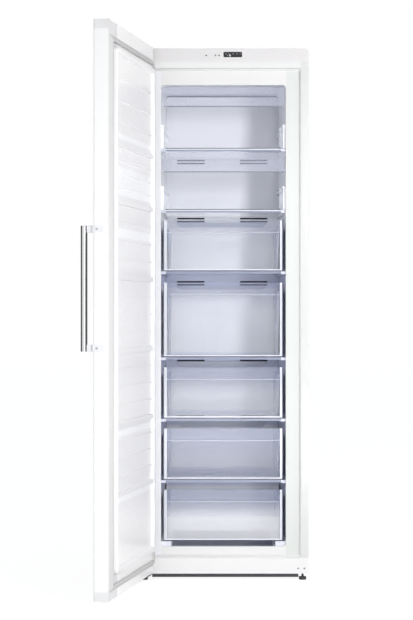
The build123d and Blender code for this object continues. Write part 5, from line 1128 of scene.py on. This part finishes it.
NUMBER_LEFT = 0.0130
NUMBER_FOOT = 1.8270
DIGIT_PITCH = 0.0046
number_bars = []
for place, sign in enumerate("-18"):
    number_bars += digit(sign, NUMBER_LEFT + place * DIGIT_PITCH, NUMBER_FOOT)
dress(join("display_number", number_bars), lit_white, "cabinet")

# %% [markdown]
# ## Unlit symbols
# The symbols that are off show only as faint grey marks: small rings, and stacks of short bars
# that look like lines of tiny signs.


# %% Display symbols
def sign_ring(x, z, radius):
    """A small ring, flattened towards the window."""
    bpy.ops.object.select_all(action="DESELECT")
    bpy.ops.mesh.primitive_torus_add(
        location=(x, (SIGN_FRONT + SIGN_BACK) / 2, z),
        rotation=(math.radians(90), 0, 0),
        major_radius=radius,
        minor_radius=STROKE / 2,
        major_segments=20,
        minor_segments=6,
    )
    ring = bpy.context.object
    bpy.ops.object.transform_apply(location=True, rotation=True, scale=True)
    bpy.ops.object.mode_set(mode="EDIT")
    bpy.ops.mesh.select_all(action="SELECT")
    bpy.ops.transform.resize(value=(1, 0.7, 1))
    bpy.ops.object.mode_set(mode="OBJECT")
    return ring


symbols = []
for x in (0.0093, 0.0466):
    symbols.append(sign_ring(x, 1.8365, 0.0022))
    symbols.append(sign_bar(x, 1.8352, x, 1.8378))
for x in (0.0337, 0.0591):
    for row in range(3):
        z = 1.8345 + row * 0.002
        symbols.append(sign_bar(x - 0.0022, z, x + 0.0022, z))
symbols.append(sign_ring(0.0190, 1.8372, 0.0016))
dress(join("display_symbols", symbols), unlit_grey, "cabinet")

# %% [markdown]
# ## Touch points
# Left of the window three black dots mark the touch keys, each with a fine grey sign above.
# A dot is a short round disc whose face is inset and sunk a little, so that a finger finds it.


# %% Touch dots
def touch_dot(x, y, z, radius):
    """A low disc with a dished face."""
    bpy.ops.object.select_all(action="DESELECT")
    bpy.ops.mesh.primitive_cylinder_add(
        vertices=28,
        radius=radius,
        depth=0.0008,
        location=(x, y, z),
        rotation=(math.radians(90), 0, 0),
    )
    dot = bpy.context.object
    bpy.ops.object.transform_apply(location=True, rotation=True, scale=True)
    bpy.ops.object.mode_set(mode="EDIT")
    bpy.ops.mesh.select_mode(type="FACE")
    bpy.ops.mesh.select_all(action="DESELECT")
    shape = bmesh.from_edit_mesh(dot.data)
    for face in shape.faces:
        face.select_set(face.normal.y < -0.9)
    bmesh.update_edit_mesh(dot.data)
    bpy.ops.mesh.inset(thickness=radius * 0.35)
    bpy.ops.transform.translate(value=(0, 0.0003, 0))
    bpy.ops.object.mode_set(mode="OBJECT")
    bpy.ops.object.shade_smooth_by_angle(angle=math.radians(35))
    return dot


DOT_Z = 1.8303
DOT_RADIUS = 0.0026
dots = [touch_dot(x, FRONT, DOT_Z, DOT_RADIUS) for x in (-0.0600, -0.0276, -0.0150)]
dress(join("touch_dots", dots), black_plastic, "cabinet")
key_signs = [
    sign_bar(-0.0690, 1.8345, -0.0655, 1.8345),
    sign_bar(-0.0300, 1.8372, -0.0252, 1.8372),
    sign_bar(-0.0176, 1.8372, -0.0124, 1.8372),
    sign_bar(-0.0150, 1.8358, -0.0150, 1.8386),
]
key_grey = finish("key_grey", (0.48, 0.48, 0.50), (0.44, 0.44, 0.46), 0.5, grain=2000, bump=0.02)
dress(join("key_signs", key_signs), key_grey, "cabinet")

# %% [markdown]
# ## Moulding marks
# Each drawer front has two tiny sunken dots low at the right, where the mould's pins pushed it
# out. They are small dished discs on the outer face, and they ride with their drawer.

# %% Moulding marks
MARK_PLACES = ((0.1795, 0.0215), (0.1835, 0.0150))
MARK_Y = FRONT + 0.038
MARK_RADIUS = 0.0012
for number in DRAWERS:
    foot = DRAWERS[number][0][2]
    marks = [touch_dot(x, MARK_Y, foot + rise, MARK_RADIUS) for x, rise in MARK_PLACES]
    dress(join(f"drawer_{number}_marks", marks), unlit_grey, f"drawer_{number}")
